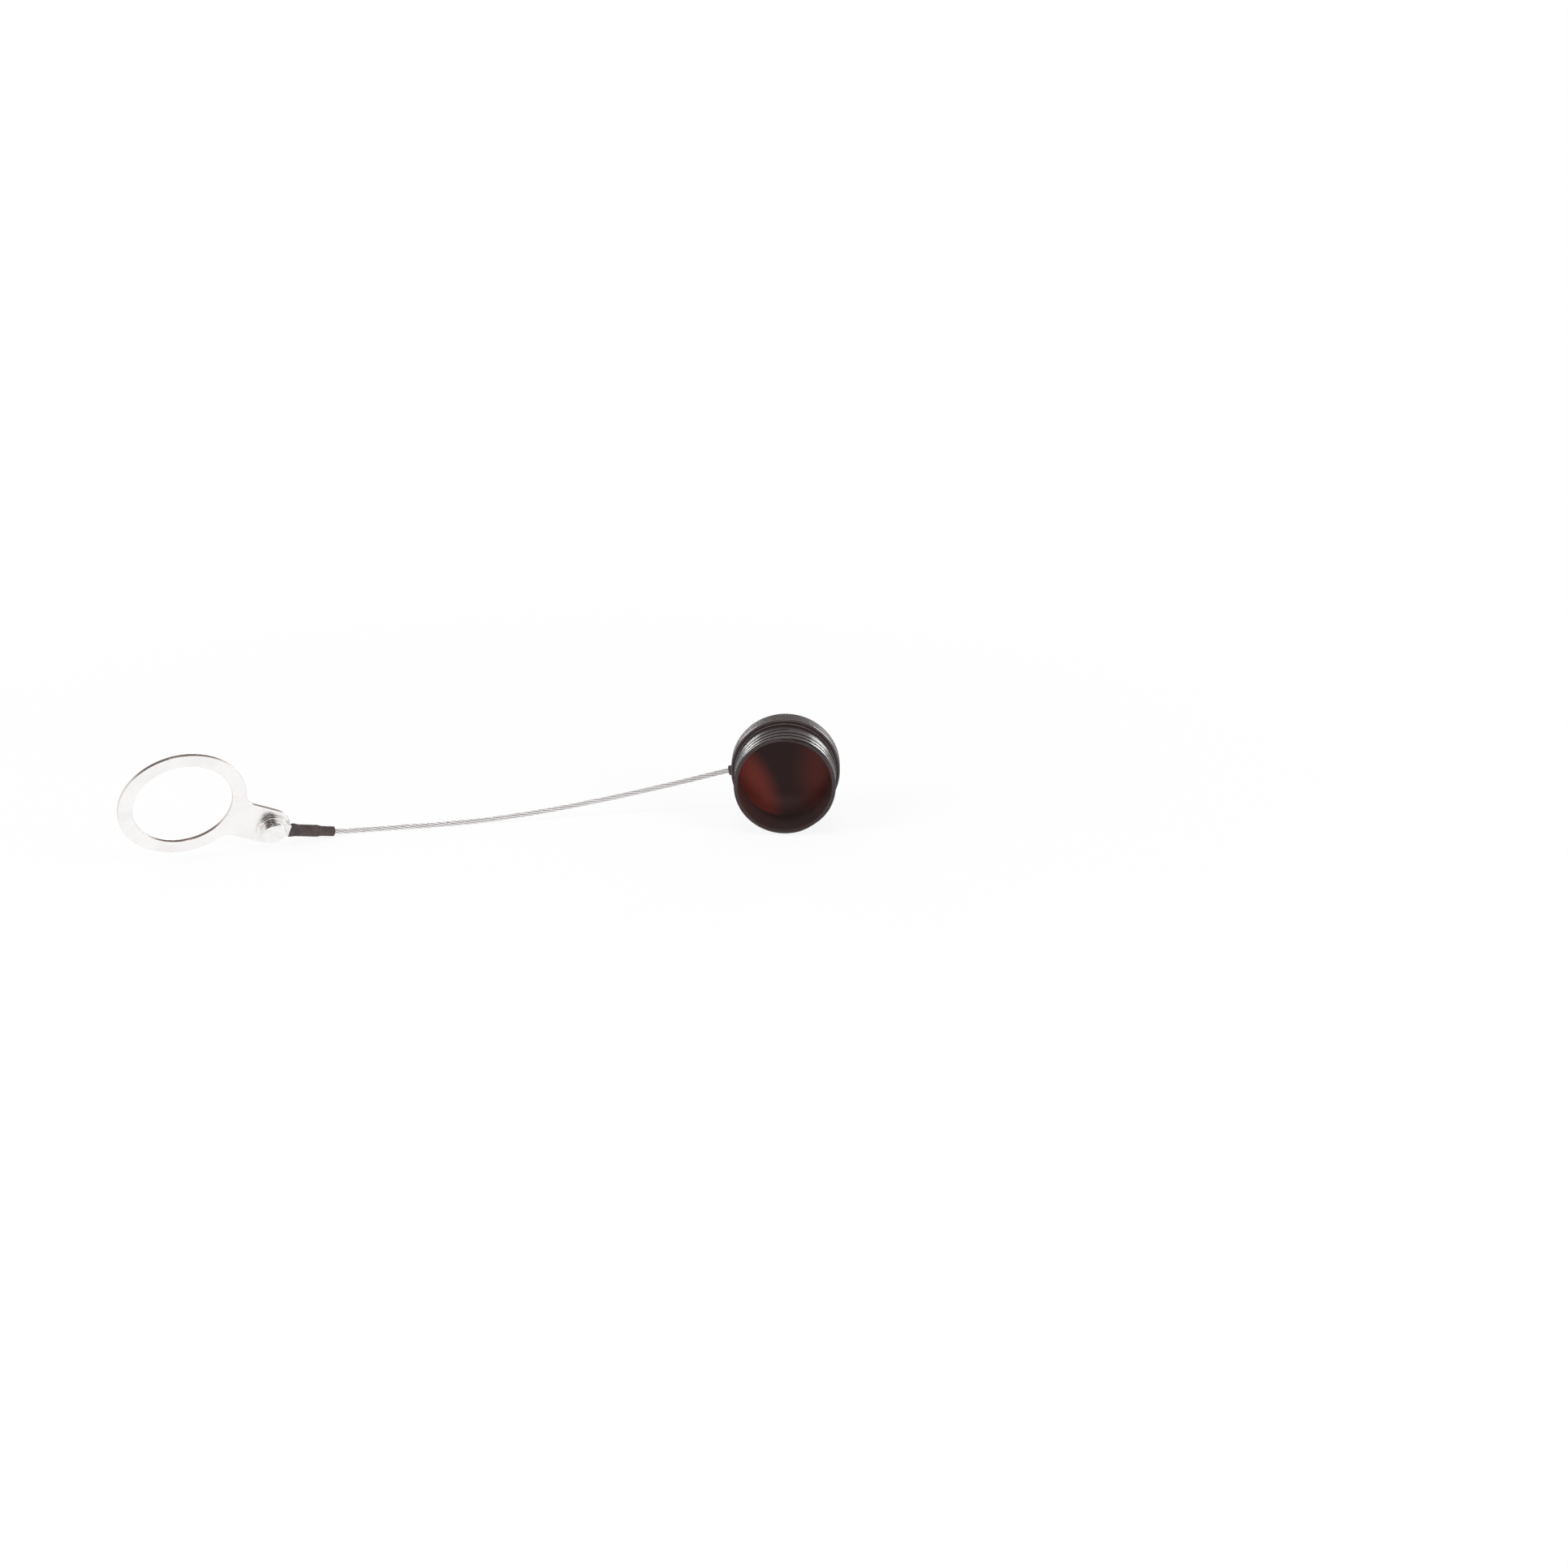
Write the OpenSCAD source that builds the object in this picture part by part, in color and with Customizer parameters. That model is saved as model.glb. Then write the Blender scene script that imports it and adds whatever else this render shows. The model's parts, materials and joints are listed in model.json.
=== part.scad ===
// Protective connector cap on a wire-rope lanyard with a ring lug.
// The cap lies on its side on the ring in front of its knurl, its nose held just clear by the stiff rope.

/* [Cap] */
// Outside diameter of the thread crests and of the plain band
thread_d = 30.16; // [29.6:0.02:30.6]
// Length from the back face to the nose
cap_len = 18.6; // [18.2:0.1:19.4]
// Outside diameter of the knurled flange, over its teeth
flange_d = 32.8; // [32.4:0.1:33.6]
// Length of the flange along the axis, its front chamfer included
flange_len = 6.15; // [5.8:0.01:6.5]
// Length of the chamfer on the front edge of the flange
flange_chamfer = 0.35; // [0.25:0.01:0.5]
// Length of the plain ring between the knurl and that chamfer
ring_land = 1.2; // [0.8:0.1:1.6]
// Number of diamonds round the knurl
knurl_teeth = 120; // [100:1:130]
// Number of half diamonds along the knurl
knurl_rows = 6; // [4:1:7]
// Depth of the knurl
knurl_depth = 0.15; // [0.1:0.05:0.2]
// Diameter of the cup inside the cap
cup_d = 27.8; // [27:0.1:28]
// Depth of the cup
cup_depth = 11.1; // [9:0.1:12]
// Width of the bevel round the mouth of the cup
mouth_bevel = 0.5; // [0.3:0.05:0.5]
// Diameter of the flat rim at the nose
nose_d = 29.5; // [29.2:0.1:29.8]
// Length of the chamfer between the rim and the thread
nose_chamfer = 0.3; // [0.2:0.01:0.5]
// Height of the boss in the middle of the back
boss_h = 1.2; // [1.1:0.1:2]
// Diameter of that boss
boss_d = 9.2; // [8:0.1:10]

/* [Thread] */
// Distance from one groove to the next along the axis
thread_pitch = 2.54; // [2:0.02:3]
// Number of starts
thread_starts = 3; // [1:1:4]
// Length of the threaded zone, from the nose
thread_len = 7.6; // [6.5:0.1:8.2]
// Depth of a groove
groove_depth = 0.6; // [0.3:0.05:0.6]
// Width of a groove at the crest
groove_w = 0.9; // [0.6:0.05:1.2]
// Width of a groove at its root
root_w = 0.35; // [0.2:0.05:0.5]

/* [Ring lug] */
// Outside diameter of the ring
ring_od = 35.6; // [34:0.1:38]
// Diameter of the hole in the ring
ring_id = 27.6; // [26:0.1:29]
// Thickness of the plate
plate_t = 1.0; // [0.8:0.1:1.6]
// Width of the tab
tab_w = 12.1; // [11:0.1:13]
// Distance from the middle of the ring to the rivet
rivet_reach = 28.65; // [27:0.05:30]
// Distance from the rivet back to the centre of the tab's round end
tab_inset = 0.9; // [0:0.1:1.2]
// Radius of the fillets between the ring and the tab
tab_fillet = 4.5; // [3:0.1:6]

/* [Terminals and rivets] */
// Outside diameter of a terminal's eye
eye_d = 9.0; // [8.4:0.1:9.6]
// Thickness of the eye
eye_t = 1.0; // [0.8:0.1:1.1]
// Outside diameter of a crimp barrel
barrel_d = 2.8; // [2.4:0.1:3]
// Height of the barrel's axis over the underside of the eye
barrel_lift = 0.9; // [0.8:0.05:1.1]
// Diameter of a rivet's head
head_d = 7.0; // [6:0.1:7.6]
// Height of a rivet's head
head_h = 2.1; // [1.5:0.1:2.6]
// Diameter of a rivet's shank
shank_d = 3.4; // [3:0.1:3.6]
// Depth of the blind hole that holds the cap's rivet
blind_depth = 4.2; // [3:0.1:5]

/* [Sleeves and rope] */
// Diameter of a sleeve over the crimp barrel
sleeve_d = 3.55; // [3.3:0.05:3.7]
// Diameter of a sleeve's tail over the bare rope
tail_d = 2.95; // [2.6:0.05:3.1]
// Width of a sleeve's flattened end
flat_w = 4.84; // [4.4:0.02:5]
// Distance from the rivet to the end of the sleeve on the cap's side
cap_sleeve_end = 17.6; // [17:0.1:18]
// Distance from the rivet to the end of the sleeve on the ring's side
ring_sleeve_end = 18.7; // [18:0.1:19]
// Diameter of the wire rope
rope_d = 1.59; // [1.5:0.01:1.6]

/* [Hidden] */
$fn = 96;
eps = 0.01;

// The frame's origin is under the middle of the part. This moves the middle of the nose's foot there.
shift = [84.43, 6.73, 0];

// The cap lies on the front corner of its flange, its nose dipped a little.
thread_r = thread_d / 2;
flange_r = flange_d / 2;
knurl_len = flange_len - flange_chamfer;
knurl_start = 0.3;
knurl_end = knurl_len - ring_land;
valley_r = flange_r - knurl_depth;
land_r = flange_r - 0.05;
cap_tip = 2.7;
cap_turn = -1.0;
nose_z = land_r * cos(cap_tip) - (cap_len - knurl_len) * sin(cap_tip);

// Angle at which the first groove starts.
thread_phase = 20;

// The lug leans, turned a little from the cap's own direction, held up by the stiff rope.
rivet_at = [-149.20, -9.83, 6.20];
lug_turn = 27.3;
lug_lean = 23.6;
lug_roll = -28.7;
ring_terminal_turn = 14.8;
cap_terminal_turn = 189.7;

// Running clearances between the turning pieces.
fit = 0.05;
lift = 0.04;

// Distances along a terminal, from its rivet.
sleeve_start = 5.3;
flat_end = 6.25;
round_start = 7.7;
neck_start = 3.6;
neck_end = 6.1;
barrel_start = 7.2;
barrel_len = 5.6;
barrel_end = barrel_start + barrel_len;
step_len = 1.9;
rope_start = 8.2;
neck_root_w = 4.9;
neck_w = 3.3;
neck_t = 0.9;
flat_t = 1.66;

// Matrices and points of the terminals' places, for the rope's two ends.
function turn_x(a) = [[1, 0, 0], [0, cos(a), -sin(a)], [0, sin(a), cos(a)]];
function turn_z(a) = [[cos(a), -sin(a), 0], [sin(a), cos(a), 0], [0, 0, 1]];
function dir(a, b) = (b - a) / norm(b - a);
cap_m = turn_z(cap_turn) * turn_x(90 + cap_tip);
cap_back = shift + [0, 0, nose_z] - cap_m * [0, 0, cap_len];
cap_end_m = cap_m * turn_z(cap_terminal_turn) * turn_x(180);
ring_end_m = turn_z(lug_turn) * turn_x(90 + lug_lean) * turn_z(lug_roll + ring_terminal_turn);
function on_cap_end(s) = cap_back + cap_end_m * [s, 0, boss_h + lift + barrel_lift];
function on_ring_end(s) = shift + rivet_at + ring_end_m * [s, 0, lift + barrel_lift];

// The rope's free route, from the sleeve at the cap to the sleeve at the ring.
route = [
    [-30.10, 20.69, 10.52], [-45.17, 19.28, 7.24], [-60.24, 16.96, 4.60],
    [-75.30, 13.92, 2.60], [-90.35, 10.69, 1.30], [-105.41, 7.48, 0.85],
    [-115.45, 5.37, 0.85], [-123.48, 3.36, 0.90], [-128.50, 1.66, 1.10]];
knots = concat([on_cap_end(rope_start), on_cap_end(cap_sleeve_end)], [for (p = route) shift + p],
               [on_ring_end(ring_sleeve_end), on_ring_end(rope_start)]);
ring_step = 4;
rope_sides = 8;

// Point at t between b and c, on a smooth line through a, b, c and d.
function blend4(a, b, c, d, t) =
    0.5 * (2 * b + (c - a) * t + (2 * a - 5 * b + 4 * c - d) * t * t + (3 * b - a - 3 * c + d) * t * t * t);
function rings_in(a, b) = max(1, round(norm(b - a) / ring_step));
spans = len(knots) - 3;
rope_line = concat(
    [knots[0]],
    [for (i = [0 : spans - 1])
        let(n = rings_in(knots[i + 1], knots[i + 2]))
        for (k = [0 : n - 1]) blend4(knots[i], knots[i + 1], knots[i + 2], knots[i + 3], k / n)],
    [knots[spans + 1], knots[spans + 2]]);

// Outline of the cap from its axis outward, as radius and height over the back face.
function cup_outline(r, floor_z, top, corner = 0.3) = concat(
    [[0, floor_z]],
    [for (a = [-90 : 15 : 0]) [r - corner + corner * cos(a), floor_z + corner + corner * sin(a)]],
    [[r, top - 0.35], [r + mouth_bevel, top], [r + mouth_bevel, top + 0.05], [0, top + 0.05]]);

module in_cap() {
    translate(shift + [0, 0, nose_z]) rotate([90 + cap_tip, 0, cap_turn]) translate([0, 0, -cap_len])
        children();
}

module at_cap_terminal() {
    in_cap() rotate([0, 0, cap_terminal_turn]) rotate([180, 0, 0]) translate([0, 0, boss_h])
        children();
}

module in_lug() {
    translate(shift + rivet_at) rotate([0, 0, lug_turn]) rotate([90 + lug_lean, 0, 0])
        rotate([0, 0, lug_roll])
            children();
}

module at_ring_terminal() {
    in_lug() rotate([0, 0, ring_terminal_turn])
        children();
}

// One helical groove, cut from beyond the nose down to where it runs out of the wall.
module groove(start_angle) {
    lead = thread_pitch * thread_starts;
    top = cap_len + 1.2;
    turns = (top - (cap_len - thread_len)) / lead;
    steps = 44;
    run_out = 3;
    slope = (groove_w - root_w) / groove_depth;
    section = [for (i = [0 : steps])
        let(depth = groove_depth * min(1, (steps - i) / run_out) - 0.02,
            deep = [thread_r - depth, root_w / 2],
            wide = [thread_r + 0.3, root_w / 2 + slope * (groove_depth + 0.3) / 2],
            a = start_angle - 360 * turns * i / steps,
            z = top - lead * turns * i / steps)
        for (p = [[wide[0], wide[1]], [wide[0], -wide[1]], [deep[0], -deep[1]], [deep[0], deep[1]]])
            [p[0] * cos(a), p[0] * sin(a), z + p[1]]];
    faces = concat(
        [[3, 2, 1, 0]],
        [for (i = [0 : steps - 1], k = [0 : 3])
            [4 * i + k, 4 * i + (k + 1) % 4, 4 * i + 4 + (k + 1) % 4, 4 * i + 4 + k]],
        [[4 * steps, 4 * steps + 1, 4 * steps + 2, 4 * steps + 3]]);
    polyhedron(points = section, faces = faces, convexity = 6);
}

// A band of diamonds. Valleys and points take turns round each row, and from one row to the next.
module knurl_band() {
    around = 2 * knurl_teeth;
    top = around * knurl_rows;
    middle = around * (knurl_rows + 1);
    corners = concat(
        [for (j = [0 : knurl_rows], k = [0 : around - 1])
            let(r = (j + k) % 2 == 0 ? valley_r : flange_r, a = 360 * k / around)
            [r * cos(a), r * sin(a), knurl_start + (knurl_end - knurl_start) * j / knurl_rows]],
        [[0, 0, knurl_start], [0, 0, knurl_end]]);
    faces = concat(
        [for (k = [0 : around - 1]) [middle, k, (k + 1) % around]],
        [for (j = [0 : knurl_rows - 1], k = [0 : around - 1], half = [0, 1])
            let(a = around * j + k, b = around * j + (k + 1) % around, c = a + around, d = b + around)
            (j + k) % 2 == 0 ? (half == 0 ? [a, c, d] : [a, d, b]) : (half == 0 ? [a, c, b] : [b, c, d])],
        [for (k = [0 : around - 1]) [middle + 1, top + (k + 1) % around, top + k]]);
    polyhedron(points = corners, faces = faces, convexity = 4);
}

module knurled_flange() {
    knurl_band();
    rotate_extrude()
        polygon([[0, 0], [valley_r - 0.3, 0], [valley_r - 0.1, 0.35], [valley_r - 0.1, knurl_end + 0.1],
                 [land_r, knurl_end + 0.3], [land_r, knurl_len], [land_r - flange_chamfer, flange_len],
                 [thread_r + 0.3, flange_len], [thread_r, flange_len + 0.3], [0, flange_len + 0.3]]);
}

module cap_body() {
    color([0.09, 0.08, 0.085]) in_cap() {
        difference() {
            union() {
                knurled_flange();
                rotate_extrude()
                    polygon([[0, 0.5], [thread_r, 0.5], [thread_r, cap_len - nose_chamfer],
                             [nose_d / 2, cap_len], [0, cap_len]]);
                translate([0, 0, -boss_h]) cylinder(h = boss_h + 1, d = boss_d);
            }
            rotate_extrude() polygon(cup_outline(cup_d / 2, cap_len - cup_depth, cap_len));
            translate([0, 0, -boss_h - 1]) cylinder(h = blind_depth + 1, d = shank_d);
            for (i = [0 : thread_starts - 1]) groove(thread_phase + 360 * i / thread_starts);
        }
    }
}

// A rivet along +Z, its head over the eye and its shank down to the given depth.
module rivet(depth, tail) {
    seat = eye_t + 2 * lift;
    rotate_extrude()
        polygon(concat(
            [[0, seat + head_h], [head_d / 2 - 0.3, seat + head_h], [head_d / 2, seat + head_h - 0.3],
             [head_d / 2, seat], [shank_d / 2, seat]],
            tail > 0 ?
                [[shank_d / 2, -depth], [tail, -depth], [tail, -depth - 0.5],
                 [tail - 0.5, -depth - 0.9], [0, -depth - 0.9]] :
                [[shank_d / 2, -depth + 0.3], [shank_d / 2 - 0.3, -depth], [0, -depth]]));
}

module cap_rivet() {
    color([0.75, 0.75, 0.76]) at_cap_terminal() rivet(blind_depth - 0.2, 0);
}

module ring_rivet() {
    color([0.75, 0.75, 0.76]) in_lug() rivet(plate_t, 2.8);
}

module along_terminal(s) {
    translate([s, 0, barrel_lift]) rotate([0, 90, 0])
        children();
}

module neck() {
    hull() {
        translate([neck_start, -neck_root_w / 2, lift]) cube([0.1, neck_root_w, eye_t]);
        translate([neck_end - 0.1, -neck_w / 2, barrel_lift - neck_t / 2]) cube([0.1, neck_w, neck_t]);
    }
    hull() {
        translate([neck_end - 0.1, -neck_w / 2, barrel_lift - neck_t / 2]) cube([0.1, neck_w, neck_t]);
        along_terminal(barrel_start) cylinder(h = 0.1, d = barrel_d, $fn = 32);
    }
}

module terminal() {
    difference() {
        union() {
            translate([0, 0, lift]) cylinder(h = eye_t, d = eye_d);
            neck();
            along_terminal(barrel_start) cylinder(h = barrel_len, d = barrel_d);
        }
        cylinder(h = 4 * eye_t, d = shank_d + 2 * fit, center = true);
        along_terminal(rope_start) cylinder(h = barrel_len, d = rope_d + 0.02);
    }
}

module cap_terminal() {
    color([0.72, 0.72, 0.73]) at_cap_terminal() terminal();
}

module ring_terminal() {
    color([0.72, 0.72, 0.73]) at_ring_terminal() terminal();
}

module flattened(s, h) {
    translate([s, 0, barrel_lift]) scale([1, flat_w / flat_t, 1]) rotate([0, 90, 0])
        cylinder(h = h, d = flat_t, $fn = 32);
}

module sleeve(end) {
    difference() {
        union() {
            flattened(sleeve_start, flat_end - sleeve_start);
            hull() {
                flattened(flat_end - 0.1, 0.1);
                along_terminal(round_start) cylinder(h = 0.1, d = sleeve_d, $fn = 32);
            }
            along_terminal(round_start) cylinder(h = barrel_end + 0.4 - round_start, d = sleeve_d);
            along_terminal(barrel_end + 0.4) cylinder(h = step_len, d1 = sleeve_d, d2 = tail_d);
            along_terminal(barrel_end + 0.4 + step_len)
                cylinder(h = end - barrel_end - 0.4 - step_len, d = tail_d);
        }
        neck();
        along_terminal(barrel_start) cylinder(h = barrel_len, d = barrel_d);
        along_terminal(barrel_end - 1) cylinder(h = end, d = rope_d + 0.02);
    }
}

module cap_sleeve() {
    color([0.16, 0.14, 0.14]) at_cap_terminal() sleeve(cap_sleeve_end);
}

module ring_sleeve() {
    color([0.16, 0.14, 0.14]) at_ring_terminal() sleeve(ring_sleeve_end);
}

// A round tube through the points of a line, one ring of corners at each point.
module tube(line, d, sides) {
    last = len(line) - 1;
    along = [for (i = [0 : last]) dir(line[max(i - 1, 0)], line[min(i + 1, last)])];
    corners = [for (i = [0 : last])
        let(side = cross(along[i], [0, 0, 1]), u = side / norm(side), v = cross(u, along[i]))
        for (k = [0 : sides - 1])
            line[i] + d / 2 * (cos(360 * k / sides) * u + sin(360 * k / sides) * v)];
    faces = concat(
        [[for (k = [0 : sides - 1]) sides - 1 - k]],
        [for (i = [0 : last - 1], k = [0 : sides - 1])
            [sides * i + k, sides * i + (k + 1) % sides,
             sides * (i + 1) + (k + 1) % sides, sides * (i + 1) + k]],
        [[for (k = [0 : sides - 1]) sides * last + k]]);
    polyhedron(points = corners, faces = faces, convexity = 8);
}

module wire_rope() {
    color([0.7, 0.69, 0.68]) tube(rope_line, rope_d, rope_sides);
}

module lug_outline() {
    ring_x = -rivet_reach;
    fillet_y = tab_w / 2 + tab_fillet;
    fillet_x = ring_x + sqrt(pow(ring_od / 2 + tab_fillet, 2) - pow(fillet_y, 2));
    difference() {
        union() {
            translate([ring_x, 0]) circle(d = ring_od);
            translate([-tab_inset, 0]) circle(d = tab_w);
            translate([ring_x, -tab_w / 2]) square([rivet_reach - tab_inset, tab_w]);
            difference() {
                translate([ring_x, -fillet_y]) square([fillet_x - ring_x, 2 * fillet_y]);
                for (side = [-1, 1]) translate([fillet_x, side * fillet_y]) circle(r = tab_fillet);
                for (side = [-1, 1])
                    polygon([
                        [ring_x, side * (fillet_y + 1)], [fillet_x + 1, side * (fillet_y + 1)],
                        [fillet_x, side * fillet_y],
                        [ring_x, 0]]);
            }
        }
        translate([ring_x, 0]) circle(d = ring_id);
        circle(d = shank_d);
    }
}

module ring_lug() {
    color([0.86, 0.85, 0.85]) in_lug() translate([0, 0, -plate_t]) linear_extrude(plate_t) lug_outline();
}

cap_body();
cap_rivet();
cap_terminal();
cap_sleeve();
wire_rope();
ring_sleeve();
ring_terminal();
ring_rivet();
ring_lug();
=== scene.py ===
"""Dresses a connector dust cap, its wire-rope lanyard and its ring lug.

Sizes are in millimetres in each piece's own frame. A piece is moved to its place, in metres, once its
mesh is finished.
"""

from __future__ import annotations

import json
import logging
import math
from dataclasses import dataclass, field
from enum import Enum
from typing import Any, Callable, Iterable, Mapping, Optional, Sequence, Union

import bpy
import numpy as np
from mathutils import Matrix, Vector, noise

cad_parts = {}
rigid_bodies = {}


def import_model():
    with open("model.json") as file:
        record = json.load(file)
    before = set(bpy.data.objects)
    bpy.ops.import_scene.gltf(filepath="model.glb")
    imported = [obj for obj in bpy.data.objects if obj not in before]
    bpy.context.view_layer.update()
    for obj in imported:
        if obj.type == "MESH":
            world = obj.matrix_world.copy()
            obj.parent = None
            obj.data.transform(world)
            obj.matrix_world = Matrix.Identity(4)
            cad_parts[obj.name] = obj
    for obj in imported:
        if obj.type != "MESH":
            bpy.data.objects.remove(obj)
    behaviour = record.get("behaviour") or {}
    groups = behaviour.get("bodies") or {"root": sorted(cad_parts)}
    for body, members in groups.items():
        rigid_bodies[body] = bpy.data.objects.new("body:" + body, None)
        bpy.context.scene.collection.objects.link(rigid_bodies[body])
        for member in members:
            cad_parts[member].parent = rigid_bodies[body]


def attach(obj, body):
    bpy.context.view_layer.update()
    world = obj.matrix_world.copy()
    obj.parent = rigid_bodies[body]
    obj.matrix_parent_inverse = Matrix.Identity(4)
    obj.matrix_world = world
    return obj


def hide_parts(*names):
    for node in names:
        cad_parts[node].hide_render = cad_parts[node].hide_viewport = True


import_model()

LOG = logging.getLogger("dust_cap")
MM = 0.001
TAU = 2 * math.pi
TINY = 1e-6
Point = tuple[float, float, float]
Socket = bpy.types.NodeSocket


class Slot(Enum):
    """Material slots of the record."""

    CAP = "cap_black"
    RIVET = "rivet_steel"
    TERMINAL = "terminal_steel"
    SLEEVE = "sleeve"
    ROPE = "rope_steel"
    LUG = "lug_steel"


class Body(Enum):
    """Bodies that the pieces ride on."""

    CAP = "cap"
    LANYARD = "lanyard"
    RING = "ring"


class Mark(Enum):
    """Values kept at each corner of a mesh, for the finishes and the node trees."""

    WEAR = "wear"
    KNURL = "knurl"
    THREAD = "thread"
    CUP = "cup"
    RADIUS = "radius"
    GROOVE = "groove"
    CROWN = "crown"
    ACROSS = "across"
    RISE = "rise"


# Node trees


def arithmetic(operation: str, swapped: bool = False) -> Callable[[Value, Term], Value]:
    """Makes the method of an arithmetic sign.

    Args:
        operation: What the Math node works out.
        swapped: Whether the value stands on the sign's right.

    Returns:
        The method.
    """

    def method(self: Value, other: Term) -> Value:
        """Adds the Math node."""
        return self.graph.math(operation, *((other, self) if swapped else (self, other)))

    return method


@dataclass(frozen=True, eq=False)
class Value:
    """A number at a socket. Arithmetic on it adds Math nodes."""

    graph: Graph
    socket: Socket

    __add__, __radd__ = arithmetic("ADD"), arithmetic("ADD", True)
    __sub__, __rsub__ = arithmetic("SUBTRACT"), arithmetic("SUBTRACT", True)
    __mul__, __rmul__ = arithmetic("MULTIPLY"), arithmetic("MULTIPLY", True)
    __truediv__ = arithmetic("DIVIDE")

    def clamped(self) -> Value:
        """This value held between 0 and 1."""
        return self.graph.math("MINIMUM", self.graph.math("MAXIMUM", self, 0.0), 1.0)


@dataclass(frozen=True, eq=False)
class Arrow:
    """A vector at a socket. Arithmetic on it adds Vector Math nodes."""

    graph: Graph
    socket: Socket

    def _worked(self, operation: str, sockets: Mapping[Any, Any], output: Union[int, str] = 0) -> Socket:
        """Adds one Vector Math node on this vector and returns its result."""
        made = self.graph.node("ShaderNodeVectorMath", {0: self, **sockets}, operation=operation)
        return made.outputs[output]

    def __add__(self, other: Arrow) -> Arrow:
        """Sum."""
        return Arrow(self.graph, self._worked("ADD", {1: other}))

    def __sub__(self, other: Arrow) -> Arrow:
        """Difference."""
        return Arrow(self.graph, self._worked("SUBTRACT", {1: other}))

    def __mul__(self, scale: Term) -> Arrow:
        """This vector made longer or shorter."""
        return Arrow(self.graph, self._worked("SCALE", {"Scale": scale}))

    def cross(self, other: Arrow) -> Arrow:
        """Cross product."""
        return Arrow(self.graph, self._worked("CROSS_PRODUCT", {1: other}))

    def length(self) -> Value:
        """Length of this vector."""
        return Value(self.graph, self._worked("LENGTH", {}, "Value"))

    def parts(self) -> tuple[Value, Value, Value]:
        """The three numbers of this vector."""
        made = self.graph.node("ShaderNodeSeparateXYZ", {0: self})
        return tuple(Value(self.graph, out) for out in made.outputs)


Term = Union[Value, int, float]


@dataclass
class Graph:
    """A node tree while it is written."""

    tree: bpy.types.NodeTree

    def node(self, kind: str, sockets: Optional[Mapping[Any, Any]] = None, **settings: Any) -> bpy.types.Node:
        """Adds one node.

        Args:
            kind: The node's type.
            sockets: Values or links of its inputs, by name or number.
            **settings: Its properties, which are set first.

        Returns:
            The new node.
        """
        made = self.tree.nodes.new(kind)
        for name, setting in settings.items():
            setattr(made, name, setting)
        for name, value in (sockets or {}).items():
            if isinstance(value, (Value, Arrow)):
                value = value.socket
            if isinstance(value, Socket):
                self.tree.links.new(value, made.inputs[name])
            else:
                made.inputs[name].default_value = value
        return made

    def value(
        self, kind: str, output: Union[int, str], sockets: Optional[Mapping[Any, Any]] = None, **settings: Any
    ) -> Value:
        """Adds one node and returns the number at one of its outputs."""
        return Value(self, self.node(kind, sockets, **settings).outputs[output])

    def math(self, operation: str, *terms: Term) -> Value:
        """Adds one Math node on one to three numbers and returns its result."""
        return self.value("ShaderNodeMath", 0, dict(enumerate(terms)), operation=operation)

    def step(self, value: Value, low: float, high: float, kind: str = "SMOOTHSTEP") -> Value:
        """Adds a rise from 0 at low to 1 at high, its ends eased unless the kind is LINEAR."""
        ends = {"Value": value, "From Min": low, "From Max": high}
        return self.value("ShaderNodeMapRange", "Result", ends, interpolation_type=kind)

    def distance(self, x: Value, y: Value) -> Value:
        """Length of a flat vector of two numbers."""
        return self.math("SQRT", x * x + y * y)


class ShaderGraph(Graph):
    """The nodes of one material."""

    def mark(self, mark: Mark) -> Value:
        """Reads a value kept at the mesh's corners."""
        return self.value("ShaderNodeAttribute", "Fac", attribute_name=mark.value)

    def place(self) -> Arrow:
        """Reads the place on the piece, in metres."""
        return Arrow(self, self.node("ShaderNodeTexCoord").outputs["Object"])

    def rays(self, *kinds: str) -> Value:
        """Reads whether the ray is of one of some kinds."""
        path = self.node("ShaderNodeLightPath")
        return sum((Value(self, path.outputs[f"Is {kind} Ray"]) for kind in kinds), 0.0).clamped()

    def grain(self, place: Arrow, size_mm: float, detail: float = 3.0, rough: float = 0.55) -> Value:
        """Adds an even noise from 0 to 1, given its largest cells' size and its finer layers."""
        sockets = {"Vector": place, "Scale": 1 / (size_mm * MM), "Detail": detail, "Roughness": rough}
        return self.value("ShaderNodeTexNoise", "Fac", sockets)

    def blend(self, share: Term, first: Any, second: Any) -> Socket:
        """Mixes two colours, triples or links, by the second one's share."""
        first, second = ((*c, 1.0) if isinstance(c, tuple) else c for c in (first, second))
        return self.node("ShaderNodeMix", {0: share, 6: first, 7: second}, data_type="RGBA").outputs[2]

    def relief(
        self, height: Value, depth_mm: float, strength: float = 1.0, onto: Optional[Socket] = None
    ) -> Socket:
        """Adds a bump.

        Args:
            height: The relief, from 0 to 1.
            depth_mm: Depth of the whole relief.
            strength: Share of it that shows.
            onto: The normal of a coarser bump under it.

        Returns:
            The bent normal.
        """
        sockets: dict[str, Any] = {"Strength": strength, "Distance": depth_mm * MM, "Height": height}
        if onto is not None:
            sockets["Normal"] = onto
        return self.node("ShaderNodeBump", sockets).outputs[0]

    def shader(
        self, colour: Socket, rough: Value, normal: Socket, metal: Term = 1.0, specular: float = 0.5
    ) -> Socket:
        """Adds the Principled shader.

        Args:
            colour: Base colour.
            rough: Roughness.
            normal: The bent normal.
            metal: Share of metal.
            specular: Strength of the plain reflection.

        Returns:
            The shader's socket.
        """
        sockets = {"Base Color": colour, "Metallic": metal, "Roughness": rough, "Normal": normal}
        sockets["Specular IOR Level"] = specular
        return self.node("ShaderNodeBsdfPrincipled", sockets).outputs[0]


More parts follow.
